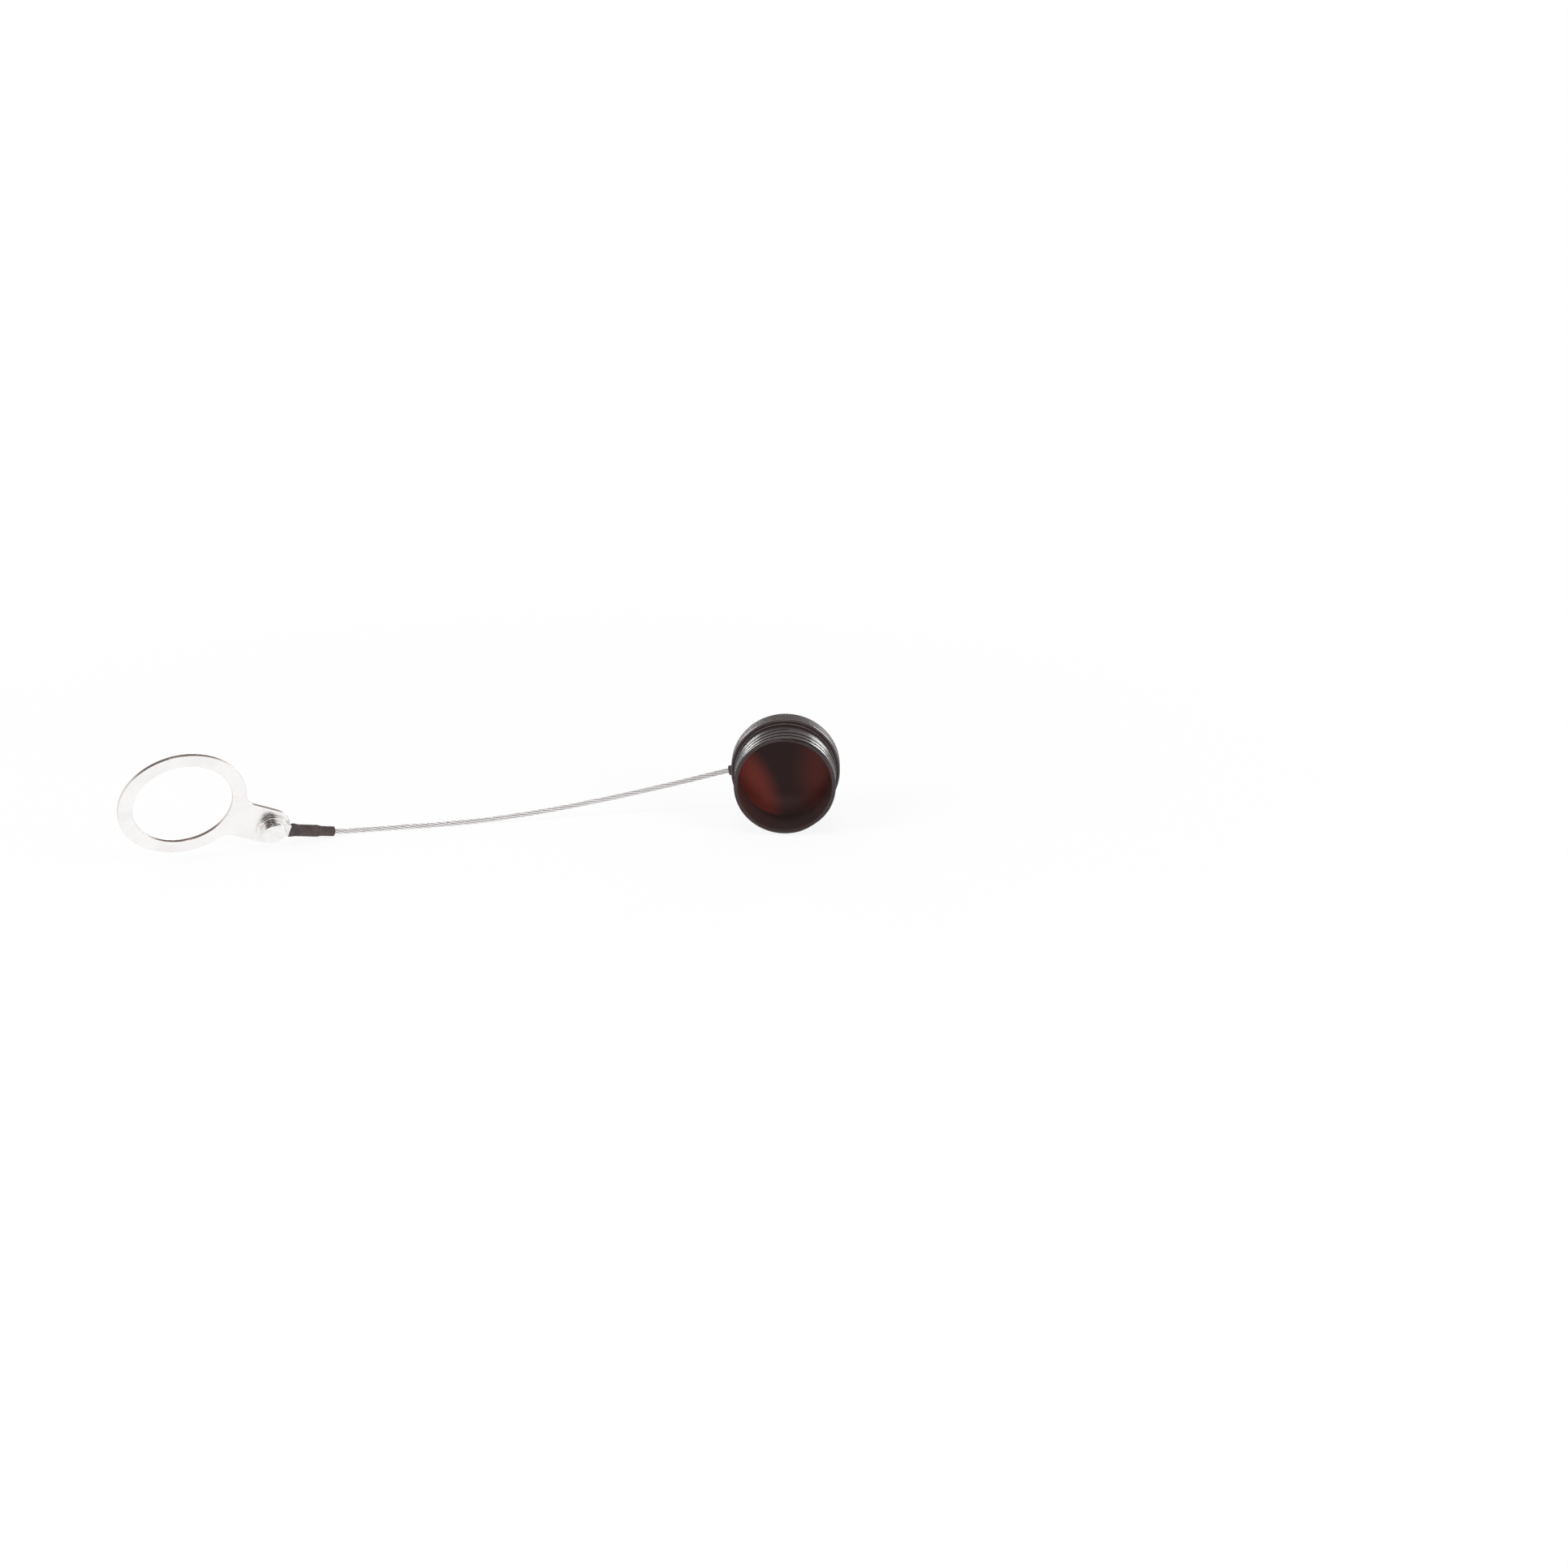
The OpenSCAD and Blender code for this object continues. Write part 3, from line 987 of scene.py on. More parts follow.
@dataclass
class Cap:
    """Turned cap: knurled flange, plain band, triple-start thread and a deep cup."""

    thread_r: float = 15.08
    length: float = 18.6
    flange_r: float = 16.4
    flange_len: float = 6.15
    flange_chamfer: float = 0.35
    ring_land: float = 1.2
    land_drop: float = 0.05
    diamonds: int = 120
    knurl_rows: float = 3.0
    knurl_start: float = 0.3
    knurl_depth: float = 0.11
    cup_r: float = 13.9
    cup_depth: float = 11.1
    mouth_bevel: float = 0.5
    nose_r: float = 14.75
    nose_chamfer: float = 0.3
    band_fillet: float = 0.32
    back_r: float = 11.0
    boss_h: float = 1.2
    boss_r: float = 4.6
    hole_r: float = 1.7
    hole_depth: float = 4.2
    pitch: float = 2.54
    starts: int = 3
    thread_len: float = 7.6
    thread_phase: float = 20.0
    lead_in: float = 1.2
    run_out: float = 0.6
    fade_len: float = 0.55
    groove_depth: float = 0.6
    groove_w: float = 0.9
    root_w: float = 0.35
    shift: Point = (84.43, 6.73, 0.0)
    turn_z: float = -1.0
    tip: float = 2.7
    sharp: float = 22
    finish: BlackAnodise = field(default_factory=BlackAnodise)

    @property
    def land_r(self) -> float:
        """Radius of the plain ring in front of the knurl."""
        return self.flange_r - self.land_drop

    @property
    def knurl_end(self) -> float:
        """Height at which the knurl ends."""
        return self.flange_len - self.flange_chamfer - self.ring_land

    @property
    def place(self) -> Matrix:
        """Finds where the cap's own frame is.

        Returns:
            The frame, Z from the back face to the nose.
        """
        lean = math.radians(self.tip)
        reach = self.length - self.flange_len + self.flange_chamfer
        height = self.land_r * math.cos(lean) - reach * math.sin(lean)
        foot = moved(*self.shift) @ moved(0, 0, height)
        return foot @ turned("Z", self.turn_z) @ turned("X", 90 + self.tip) @ moved(0, 0, -self.length)

    def flange(self, around: int) -> list[Row]:
        """Lays out the back's outer part, the knurl and the plain ring in front of it.

        Args:
            around: Number of corners around.

        Returns:
            The rings of corners, from the back outward.
        """
        start, end, full, land = self.knurl_start, self.knurl_end, self.flange_r, self.land_r
        groove, brow, ease = full - self.knurl_depth - 0.1, full - 0.04, 0.12
        # The plain ring in front of the knurl is marked for the lighter colour: partly wear, partly painted
        # highlight.
        knurl, worn_and_painted_highlight = {Mark.KNURL: 1.0}, {Mark.WEAR: 0.8}
        profile = [
            (self.back_r, 0.0),
            (groove - 0.25, 0.0, 0.1),
            (groove, start - 0.05, 0.04),
            (brow, start + 0.02, 0.02, knurl),
            (full, start + ease, 0, knurl),
            (full, end - ease, 0, knurl),
            (brow, end - 0.02, 0.02, knurl),
            (groove, end + 0.04, 0.03),
            (groove, end + ease, 0.03),
            (land, end + 0.26, 0.08),
            (land, self.flange_len - self.flange_chamfer, 0.15, worn_and_painted_highlight),
            (land - self.flange_chamfer, self.flange_len, 0.12),
            (self.thread_r + 0.7, self.flange_len),
        ]
        return soften(profile, around, longest=0.20)

    def profile(self) -> list[Row]:
        """Lays out the cap, from the blind hole in the back, round the outside and into the cup.

        Returns:
            The rings of corners.
        """
        around = 4 * self.diamonds
        top, crown, cup_r = self.length, self.thread_r, self.cup_r
        deep, floor_z = self.hole_depth - self.boss_h, top - self.cup_depth
        low = top - self.thread_len - self.run_out
        thread, wall, floor = {Mark.THREAD: 1.0}, {Mark.CUP: 0.5}, {Mark.CUP: 1.0}
        hole = [(0, deep), (self.hole_r, deep), (self.hole_r, -self.boss_h, 0.15)]
        boss = [(self.boss_r, -self.boss_h, 0.25), (self.boss_r, 0.0, 0.2), (8.0, 0.0)]
        band = [(crown + 0.6, self.flange_len), (crown, self.flange_len, self.band_fillet), (crown, low)]
        cut = [
            (crown, low + 0.05, 0, thread),
            (crown, top - self.nose_chamfer, 0.06, thread),
            (self.nose_r, top, 0.06, thread),
            (cup_r + self.mouth_bevel, top, 0.05),
            (cup_r, top - 0.35, 0.08, wall),
            (cup_r, top - 0.6, 0, wall),
        ]
        cup = [
            (cup_r, top - 0.9, 0, wall),
            (cup_r, floor_z + 0.5, 0, wall),
            (cup_r, floor_z, 0.12, {Mark.CUP: 0.6}),
            (cup_r - 0.2, floor_z, 0, floor),
            (9.0, floor_z, 0, floor),
        ]
        rows = soften(hole + boss, around // 4) + [Row(9.5, 0.0, around // 2)] + self.flange(around)
        for part, segments, longest in ((band, 4, 0.9), (cut, 3, 0.17), (cup, 5, 1.6)):
            rows += soften(part, around, segments, longest)
        # Toward the middle of the floor the rings have fewer corners.
        fewer = ((6.5, around // 2), (4.2, around // 4), (2.2, around // 8), (0.9, around // 16), (0, 1))
        return rows + [Row(r, floor_z, steps, dict(floor)) for r, steps in fewer]

    def shape(self) -> ShapeGraph:
        """Writes the tree that presses the knurl and cuts the thread into the turned shape.

        Returns:
            The tree.
        """
        graph = ShapeGraph("knurl_and_thread")
        diamonds, rows, start, end, tooth, pitch, starts, crown, deep, mouth, root, top, low = graph.numbers(
            {
                "Diamonds": self.diamonds,
                "Rows": self.knurl_rows,
                "Knurl start": self.knurl_start,
                "Knurl end": self.knurl_end,
                "Knurl depth": self.knurl_depth,
                "Pitch": self.pitch,
                "Starts": self.starts,
                "Crest radius": self.thread_r,
                "Groove depth": self.groove_depth,
                "Groove width": self.groove_w,
                "Root width": self.root_w,
                "Thread top": self.length + self.lead_in - self.thread_phase / 360 * self.pitch * self.starts,
                "Thread end": self.length - self.thread_len,
            }
        )
        x, y, z = graph.place().parts()
        angle = graph.math("ARCTAN2", y, x) / TAU
        radius = graph.distance(x, y)

        def ridge(turns: Value) -> Value:
            """Returns a saw that is 0 at each whole number and 1 halfway, from -100 turns up."""
            return 1 - graph.math("ABSOLUTE", graph.math("FRACT", turns + 100.0) * 2 - 1)

        around = angle * diamonds
        along = (z - start) / (end - start) * rows
        point = graph.math("MINIMUM", ridge(around + along), ridge(around - along))
        press = (1 - graph.step(point, 0.0, 1.0, "LINEAR")) * tooth * graph.mark(Mark.KNURL)
        turn = (z - top - angle * pitch * starts) / pitch
        nearest = graph.math("ROUND", turn)
        off = graph.math("ABSOLUTE", turn - nearest) * pitch
        centre = top + (angle * starts + nearest) * pitch
        half, foot = mouth / 2, root / 2
        cut = ((half - off) / (half - foot)).clamped()
        fade = ((centre - low) / self.fade_len).clamped()
        thread = graph.mark(Mark.THREAD)
        groove = cut * fade * thread
        shrunk = graph.math("MINIMUM", radius, crown - groove * deep + (1 - thread) * crown) - press
        scale = shrunk / graph.math("MAXIMUM", radius, TINY)
        place = graph.node("ShaderNodeCombineXYZ", {0: x * scale, 1: y * scale, 2: z}).outputs[0]
        shape = graph.put(graph.entry.outputs[0], place)
        # Across and rise place the painted sheens on the cup's floor.
        for mark, value in ((Mark.GROOVE, groove), (Mark.ACROSS, x), (Mark.RISE, y)):
            shape = graph.store(shape, mark, value)
        graph.close(shape, self.finish)
        return graph

    def build(self) -> None:
        """Builds and dresses the cap."""
        shell = Shell()
        shell.turn(self.profile())
        piece = shell.object("cap_turned", self.finish)
        self.shape().bake(piece)
        fit_out(piece, self.place, self.sharp, "cap_body", Body.CAP, Slot.CAP)


@dataclass
class Rivet:
    """Turned rivet with a flat head."""

    name: str
    node: str
    body: Body
    place: Matrix
    shank_depth: float
    tail_r: float = 0.0
    seat: float = 1.08
    head_r: float = 3.5
    head_h: float = 2.1
    shank_r: float = 1.7
    bevel: float = 0.3
    tail_h: float = 0.9
    tail_bevel: float = 0.5
    dish_r: float = 1.2
    dish_depth: float = 0.02
    around: int = 128
    sharp: float = 50
    finish: TurnedSteel = TurnedSteel("turned_rivet", (0.95, 0.935, 0.925), (0.82, 0.795, 0.78), 0.5, 0.17)

    def build(self) -> None:
        """Builds and dresses the rivet, with an upset tail if it has one."""
        top, low, shank, tail = self.seat + self.head_h, -self.shank_depth, self.shank_r, self.tail_r
        foot = [(0, low), (shank - self.bevel, low, 0.05), (shank, low + self.bevel, 0.05)]
        if tail > 0:
            end, cut = low - self.tail_h, self.tail_bevel
            foot = [(0, end), (tail - cut, end, 0.25), (tail, low - cut, 0.2), (tail, low, 0.05)]
            foot.append((shank, low))
        head = [
            (shank, self.seat),
            (self.head_r, self.seat, 0.1),
            (self.head_r, top - self.bevel, 0.12),
            (self.head_r - self.bevel, top, 0.16),
            (self.dish_r, top - 0.75 * self.dish_depth),
            (0, top - self.dish_depth),
        ]
        shell = Shell()
        shell.turn(soften(foot + head, self.around, segments=4, longest=0.6))
        piece = shell.object(self.name, self.finish)
        fit_out(piece, self.place, self.sharp, self.node, self.body, Slot.RIVET)


@dataclass
class Terminal:
    """Stamped eye terminal whose barrel is crimped on the rope."""

    name: str
    node: str
    place: Matrix
    eye_r: float = 4.5
    eye_t: float = 1.0
    bore_r: float = 1.75
    edge_r: float = 0.13
    lift: float = 0.04
    root_at: float = 3.7
    root_w: float = 4.9
    neck_at: float = 6.1
    neck_w: float = 3.3
    neck_t: float = 0.9
    barrel_lift: float = 0.9
    barrel_at: float = 7.2
    barrel_len: float = 5.6
    barrel_r: float = 1.4
    overlap: float = 0.3
    rope_r: float = 0.805
    around: int = 360
    across: int = 10
    barrel_around: int = 64
    sharp: float = 45
    finish: TurnedSteel = TurnedSteel("stamped_terminal", (0.93, 0.915, 0.905), (0.78, 0.755, 0.74), 0.0, 0.2)

    def edge(self, angle: float) -> Vector:
        """Finds the eye's outer edge in a direction: round, with the neck running off along X.

        Args:
            angle: The direction.

        Returns:
            The edge's place.
        """
        c, s = math.cos(angle), math.sin(angle)
        reach = self.eye_r
        if c > 0.5:
            wide, narrow = (self.root_at, self.root_w / 2), (self.neck_at, self.neck_w / 2)
            slope = (narrow[1] - wide[1]) / (narrow[0] - wide[0])
            end = self.barrel_at + self.overlap
            side = (wide[1] - slope * wide[0]) / (abs(s) - slope * c)
            if side * c > narrow[0]:
                straight = (narrow[1] - self.barrel_r) / (narrow[0] - end)
                side = (narrow[1] - straight * narrow[0]) / (abs(s) - straight * c)
            reach = max(reach, min(side, end / c))
        return Vector((reach * c, reach * s))

    def bend(self, x: float, y: float, z: float) -> Point:
        """Lifts and thins the neck.

        Args:
            x: Distance along the terminal.
            y: Distance across it.
            z: Height in the flat blank.

        Returns:
            The corner's new place.
        """
        t = ramp(x, self.root_at, self.neck_at)
        base = self.lift + (self.barrel_lift - self.neck_t / 2 - self.lift) * t
        return x, y, base + (z + self.eye_t) * (1 - t * (1 - self.neck_t / self.eye_t))

    def build(self) -> None:
        """Builds and dresses the terminal."""
        shell = Shell()
        size = (self.bore_r, self.around, self.eye_t, self.edge_r, self.across)
        plate(shell, self.edge, *size, self.bend)
        wall = [(self.rope_r, 0), (self.barrel_r, 0, 0.15)]
        wall += [(self.barrel_r, self.barrel_len, 0.15), (self.rope_r, self.barrel_len)]
        along = moved(self.barrel_at, 0, self.barrel_lift) @ turned("Y", 90)
        shell.turn(soften(wall, self.barrel_around, segments=2, longest=1.0), True, along)
        piece = shell.object(self.name, self.finish)
        fit_out(piece, self.place, self.sharp, self.node, Body.LANYARD, Slot.TERMINAL)


@dataclass(frozen=True)
class Wall:
    """One side of a sleeve's wall: flat over the neck, round over the crimp, thinner on the rope."""

    wide: float
    high: float
    crimp_r: float
    rope_r: float
    step_at: float
    step_len: float
    eased: bool
    flat_end: float = 6.25
    round_at: float = 7.7

    def half(self, s: float) -> tuple[float, float]:
        """Finds the half width and half height.

        Args:
            s: Distance from the rivet.

        Returns:
            The two.
        """
        if s < self.round_at:
            t = ramp(s, self.flat_end, self.round_at)
            return self.wide * (1 - t) + self.crimp_r * t, self.high * (1 - t) + self.crimp_r * t
        t = ramp(s, self.step_at, self.step_at + self.step_len)
        r = self.crimp_r + (self.rope_r - self.crimp_r) * (t * t * (3 - 2 * t) if self.eased else t)
        return r, r


@dataclass
class Sleeve:
    """Shrink tubing over the crimp: flattened at the eye, stepped down onto the rope."""

    name: str
    node: str
    place: Matrix
    end: float
    start: float = 5.3
    outer: Wall = Wall(2.42, 0.83, 1.775, 1.475, 13.2, 1.9, True)
    inner: Wall = Wall(2.05, 0.6, 1.41, 0.80, 12.9, 0.5, False)
    lip: float = 0.12
    axis_z: float = 0.9
    slant: float = 0.02
    slant_len: float = 2.0
    squareness: float = 0.10
    square_len: float = 1.6
    mottle: float = 0.025
    mottle_along: float = 1.3
    mottle_around: float = 1.5
    folds: float = 0.07
    folds_along: float = 2.9
    folds_around: float = 1.1
    fold_at: float = 0.9
    fold_len: float = 1.3
    seed: float = 3.0
    around: int = 96
    along: int = 110
    inside: int = 24
    sharp: float = 60
    finish: ShrinkSleeve = field(default_factory=ShrinkSleeve)

    def section(self, s: float, half: tuple[float, float], wrinkled: bool) -> list[Point]:
        """Lays out one ring of the tubing.

        Args:
            s: Distance from the rivet.
            half: Half width and half height.
            wrinkled: Whether the wall is uneven there.

        Returns:
            The ring's corners.
        """
        squared = self.squareness * max(0.0, 1 - (s - self.start) / self.square_len)
        slanted = self.slant / self.outer.wide * max(0.0, 1 - (s - self.start) / self.slant_len)
        folded = math.exp(-(((s - self.outer.step_at - self.fold_at) / self.fold_len) ** 2))
        m, f, seed = self.mottle_around, self.folds_around, self.seed
        points = []
        for i in range(self.around):
            a = TAU * i / self.around
            c, n = math.cos(a), math.sin(a)
            square = 1 + squared * math.sin(2 * a) ** 2
            y, z = half[0] * c * square, half[1] * n * square
            scale = 1.0
            if wrinkled:
                cell = noise.noise(Vector((s * self.mottle_along, m * c, m * n + seed)))
                fold = noise.noise(Vector((s * self.folds_along, c * f + seed, n * f)))
                scale = 1 + (self.mottle * cell + self.folds * folded * fold) / max(half)
            points.append((s + slanted * y, y * scale, self.axis_z + z * scale))
        return points

    def build(self) -> None:
        """Builds and dresses the sleeve, from ring to ring along its outside and back inside."""
        shell = Shell()
        rings: list[list[int]] = []
        length, lip = self.end - self.start, self.lip

        def add(s: float, half: tuple[float, float], wear: float = 0.0, wrinkled: bool = False) -> None:
            """Adds one ring of the tubing."""
            rings.append(shell.ring(self.section(s, half, wrinkled), {Mark.WEAR: wear}))

        def round_lip(at: float, way: int, degrees: Sequence[int]) -> None:
            """Adds the rounded edge of one end.

            Args:
                at: Distance of the end from the rivet.
                way: 1 at the far end and -1 at the near one.
                degrees: Where the rings are on the edge's arc.
            """
            wide, high = self.outer.half(at)
            for a in map(math.radians, degrees):
                pull, n = lip * (1 - math.cos(a)), math.sin(a)
                add(at - way * lip * (1 - n), (wide - pull, high - pull), n)

        for k in range(self.along + 1):
            s = self.start + lip + (length - 2 * lip) * k / self.along
            add(s, self.outer.half(s), 0.0, True)
        round_lip(self.end, 1, (30, 60, 90))
        for k in range(self.inside + 1):
            s = self.end - length * k / self.inside
            add(s, self.inner.half(s), 0.3 if k in (0, self.inside) else 0.0)
        round_lip(self.start, -1, (90, 60, 30))
        shell.join(rings)
        piece = shell.object(self.name, self.finish)
        fit_out(piece, self.place, self.sharp, self.node, Body.LANYARD, Slot.SLEEVE)


@dataclass
class RingLug:
    """Stamped ring with a tab that carries the rivet."""

    place: Matrix
    ring_r: float = 17.8
    hole_r: float = 13.8
    plate_t: float = 1.0
    tab_w: float = 12.1
    reach: float = 28.65
    inset: float = 0.9
    fillet: float = 4.5
    shank_r: float = 1.7
    edge: float = 0.2
    drill: float = 3.0
    drill_around: int = 64
    around: int = 720
    across: int = 8
    sharp: float = 60
    finish: TumbledStainless = field(default_factory=TumbledStainless)

    def outline(self, angle: float) -> Vector:
        """Finds the outer edge in a direction from the middle of the ring, the tab along X.

        Args:
            angle: The direction.

        Returns:
            The edge's place.
        """
        c, s = math.cos(angle), abs(math.sin(angle))
        half = self.tab_w / 2
        fy = half + self.fillet
        fx = math.sqrt((self.ring_r + self.fillet) ** 2 - fy**2)
        tab_x = self.reach - self.inset
        reach = self.ring_r
        if c > 0:
            if math.atan2(s, c) < math.atan2(half, tab_x):
                reach = tab_x * c + math.sqrt(half**2 - (tab_x * s) ** 2)
            elif math.atan2(s, c) < math.atan2(half, fx):
                reach = half / s
            elif math.atan2(s, c) < math.atan2(fy, fx):
                middle = fx * c + fy * s
                reach = middle - math.sqrt(max(0.0, self.fillet**2 - (fx**2 + fy**2 - middle**2)))
        return Vector((reach * math.cos(angle), reach * math.sin(angle)))

    def build(self) -> None:
        """Builds and dresses the lug, with the rivet's hole drilled through its tab."""
        shell, drill = Shell(), Shell()
        plate(shell, self.outline, self.hole_r, self.around, self.plate_t, self.edge, self.across)
        piece = shell.object("ring_stamped", self.finish)
        ends = ((0, -self.drill), (self.shank_r, -self.drill), (self.shank_r, self.drill), (0, self.drill))
        drill.turn([Row(r, z, self.drill_around) for r, z in ends])
        cutter = drill.object("drill", self.finish)
        cutter.data.transform(moved(self.reach, 0, 0))
        hole = piece.modifiers.new("rivet hole", "BOOLEAN")
        hole.operation, hole.solver, hole.object = "DIFFERENCE", "EXACT", cutter
        settle(piece)
        bpy.data.objects.remove(cutter)
        piece.data.transform(moved(-self.reach, 0, 0))
        fit_out(piece, self.place, self.sharp, "ring_lug", Body.RING, Slot.LUG)


@dataclass
class WireRope:
    """Stainless rope of six strands round a core, each strand of six wires round a seventh."""

    knots: Sequence[Vector]
    diameter: float = 1.59
    strands: int = 6
    wires: int = 6
    lay: float = 14.25
    wire_lay: float = 4.6
    spacing: float = 0.5
    runs: int = 390
    sides: tuple[int, int, int] = (5, 4, 8)
    # The core's crown is low, so the finish paints it shaded.
    core_crown: float = 0.3
    finish: DrawnWire = field(default_factory=DrawnWire)

    def shares(self, a: Vector, b: Vector) -> list[float]:
        """Splits the way between two knots into short even runs and returns where each one starts."""
        runs = max(1, round((b - a).length / self.spacing))
        return [k / runs for k in range(runs)]

    def line(self) -> list[Vector]:
        """Draws the smooth line through the knots.

        Returns:
            Its points, in short even runs.
        """
        knots = self.knots
        points = [knots[0].lerp(knots[1], t) for t in self.shares(knots[0], knots[1])]
        for a, b, c, d in zip(knots, knots[1:], knots[2:], knots[3:]):
            for t in self.shares(b, c):
                bends = (2 * a - 5 * b + 4 * c - d) * t * t + (3 * b - a - 3 * c + d) * t**3
                points.append(0.5 * (2 * b + (c - a) * t + bends))
        points += [knots[-2].lerp(knots[-1], t) for t in self.shares(knots[-2], knots[-1])]
        return points + [knots[-1]]

    def shape(self, length: float) -> ShapeGraph:
        """Writes the tree that lays the wires along the line.

        Args:
            length: Length of the line.

        Returns:
            The tree.
        """
        graph = ShapeGraph("laid_rope")
        size, long, lay, wire_lay, strands, wires = graph.numbers(
            {
                "Diameter": self.diameter,
                "Length": length,
                "Lay": self.lay,
                "Wire lay": self.wire_lay,
                "Strands": self.strands,
                "Wires": self.wires,
            }
        )
        path = graph.node("GeometryNodeMeshToCurve", {"Mesh": graph.entry.outputs[0]}).outputs[0]
        share = graph.value("GeometryNodeSplineParameter", "Factor")
        read = graph.node("GeometryNodeSampleCurve", {"Curves": path, "Factor": share}, mode="FACTOR")
        at, along, side = (Arrow(graph, read.outputs[name]) for name in ("Position", "Tangent", "Normal"))
        across = along.cross(side)
        # Nine wires lie side by side across the rope, three in each strand and three in the core.
        strand_r = size / 3

        def tube(source: Socket, radius: Value, sides: int) -> Socket:
            """Gives a curve its thickness.

            Args:
                source: The curve.
                radius: Radius of the tube.
                sides: Number of its sides.

            Returns:
                The tube's geometry.
            """
            rim = graph.node("GeometryNodeCurvePrimitiveCircle", {"Resolution": sides, "Radius": radius})
            sockets = {"Curve": source, "Profile Curve": rim.outputs[0], "Fill Caps": True}
            return graph.node("GeometryNodeCurveToMesh", sockets).outputs[0]

        def laid(amount: Value, per_strand: Term, wire_r: Value, thick: Value, sides: int) -> Socket:
            """Lays a set of wires and gives them their thickness.

            Args:
                amount: Number of wires.
                per_strand: Number of them in each strand.
                wire_r: Distance of each from the strand's middle.
                thick: Radius of each.
                sides: Number of sides of each.

            Returns:
                The wires' geometry.
            """
            line = graph.node("GeometryNodeCurvePrimitiveLine").outputs[0]
            cut = {"Curve": line, "Count": self.runs}
            straight = graph.node("GeometryNodeResampleCurve", cut, mode="COUNT").outputs[0]
            sockets = {"Geometry": straight, "Amount": amount}
            copies = graph.node("GeometryNodeDuplicateElements", sockets, domain="SPLINE")
            number = Value(graph, copies.outputs["Duplicate Index"])
            strand = graph.math("FLOOR", (number + 0.5) / per_strand)
            wire = number - strand * per_strand
            swing = (strand / strands + share * long / lay) * TAU
            spin = (wire / per_strand - share * long / wire_lay) * TAU
            c, s = graph.math("COSINE", swing), graph.math("SINE", swing)
            out = side * c + across * s
            lean = graph.math("ARCTANGENT", strand_r * TAU / lay)
            edge = (across * c - side * s) * graph.math("COSINE", lean) - along * graph.math("SINE", lean)
            offset = out * (graph.math("COSINE", spin) * wire_r) + edge * (graph.math("SINE", spin) * wire_r)
            placed = graph.put(copies.outputs[0], at + out * strand_r + offset)
            kept = graph.node("GeometryNodeCaptureAttribute", {"Geometry": placed}, domain="POINT")
            kept.capture_items.new("VECTOR", "Middle")
            graph.tree.links.new(at.socket, kept.inputs[1])
            wide = tube(kept.outputs[0], thick, sides)
            # How far each corner lies from the rope's middle; the finish paints shade by it.
            reach = (graph.place() - Arrow(graph, kept.outputs[1])).length() / (size / 2)
            return graph.store(wide, Mark.CROWN, reach)

        joined = graph.node("GeometryNodeJoinGeometry")
        outer, heart, core = self.sides
        for part in (
            laid(strands * wires, wires, size / 9, size / 18, outer),
            laid(strands, 1.0, size * 0.0, size / 15, heart),
            graph.store(tube(path, size / 6, core), Mark.CROWN, size * 0.0 + self.core_crown),
        ):
            graph.tree.links.new(part, joined.inputs[0])
        graph.close(joined.outputs[0], self.finish)
        return graph

    def build(self) -> None:
        line = self.line()
        length = sum((b - a).length for a, b in zip(line, line[1:]))
        mesh = bpy.data.meshes.new("rope_line")
        mesh.from_pydata([tuple(p) for p in line], [(i, i + 1) for i in range(len(line) - 1)], [])
        piece = linked("rope_laid", mesh)
        self.shape(length).bake(piece)
        piece.data.transform(Matrix.Scale(MM, 4))
        piece.data.shade_smooth()
        hand_over(piece, "wire_rope", Body.LANYARD, Slot.ROPE)
        tuple(self.knots[1] * MM)
        self.diameter * MM
        [tuple(p * MM) for p in line[::3] + [line[-1]]]
        LOG.info("%s: %.1f mm long", piece.name, length)


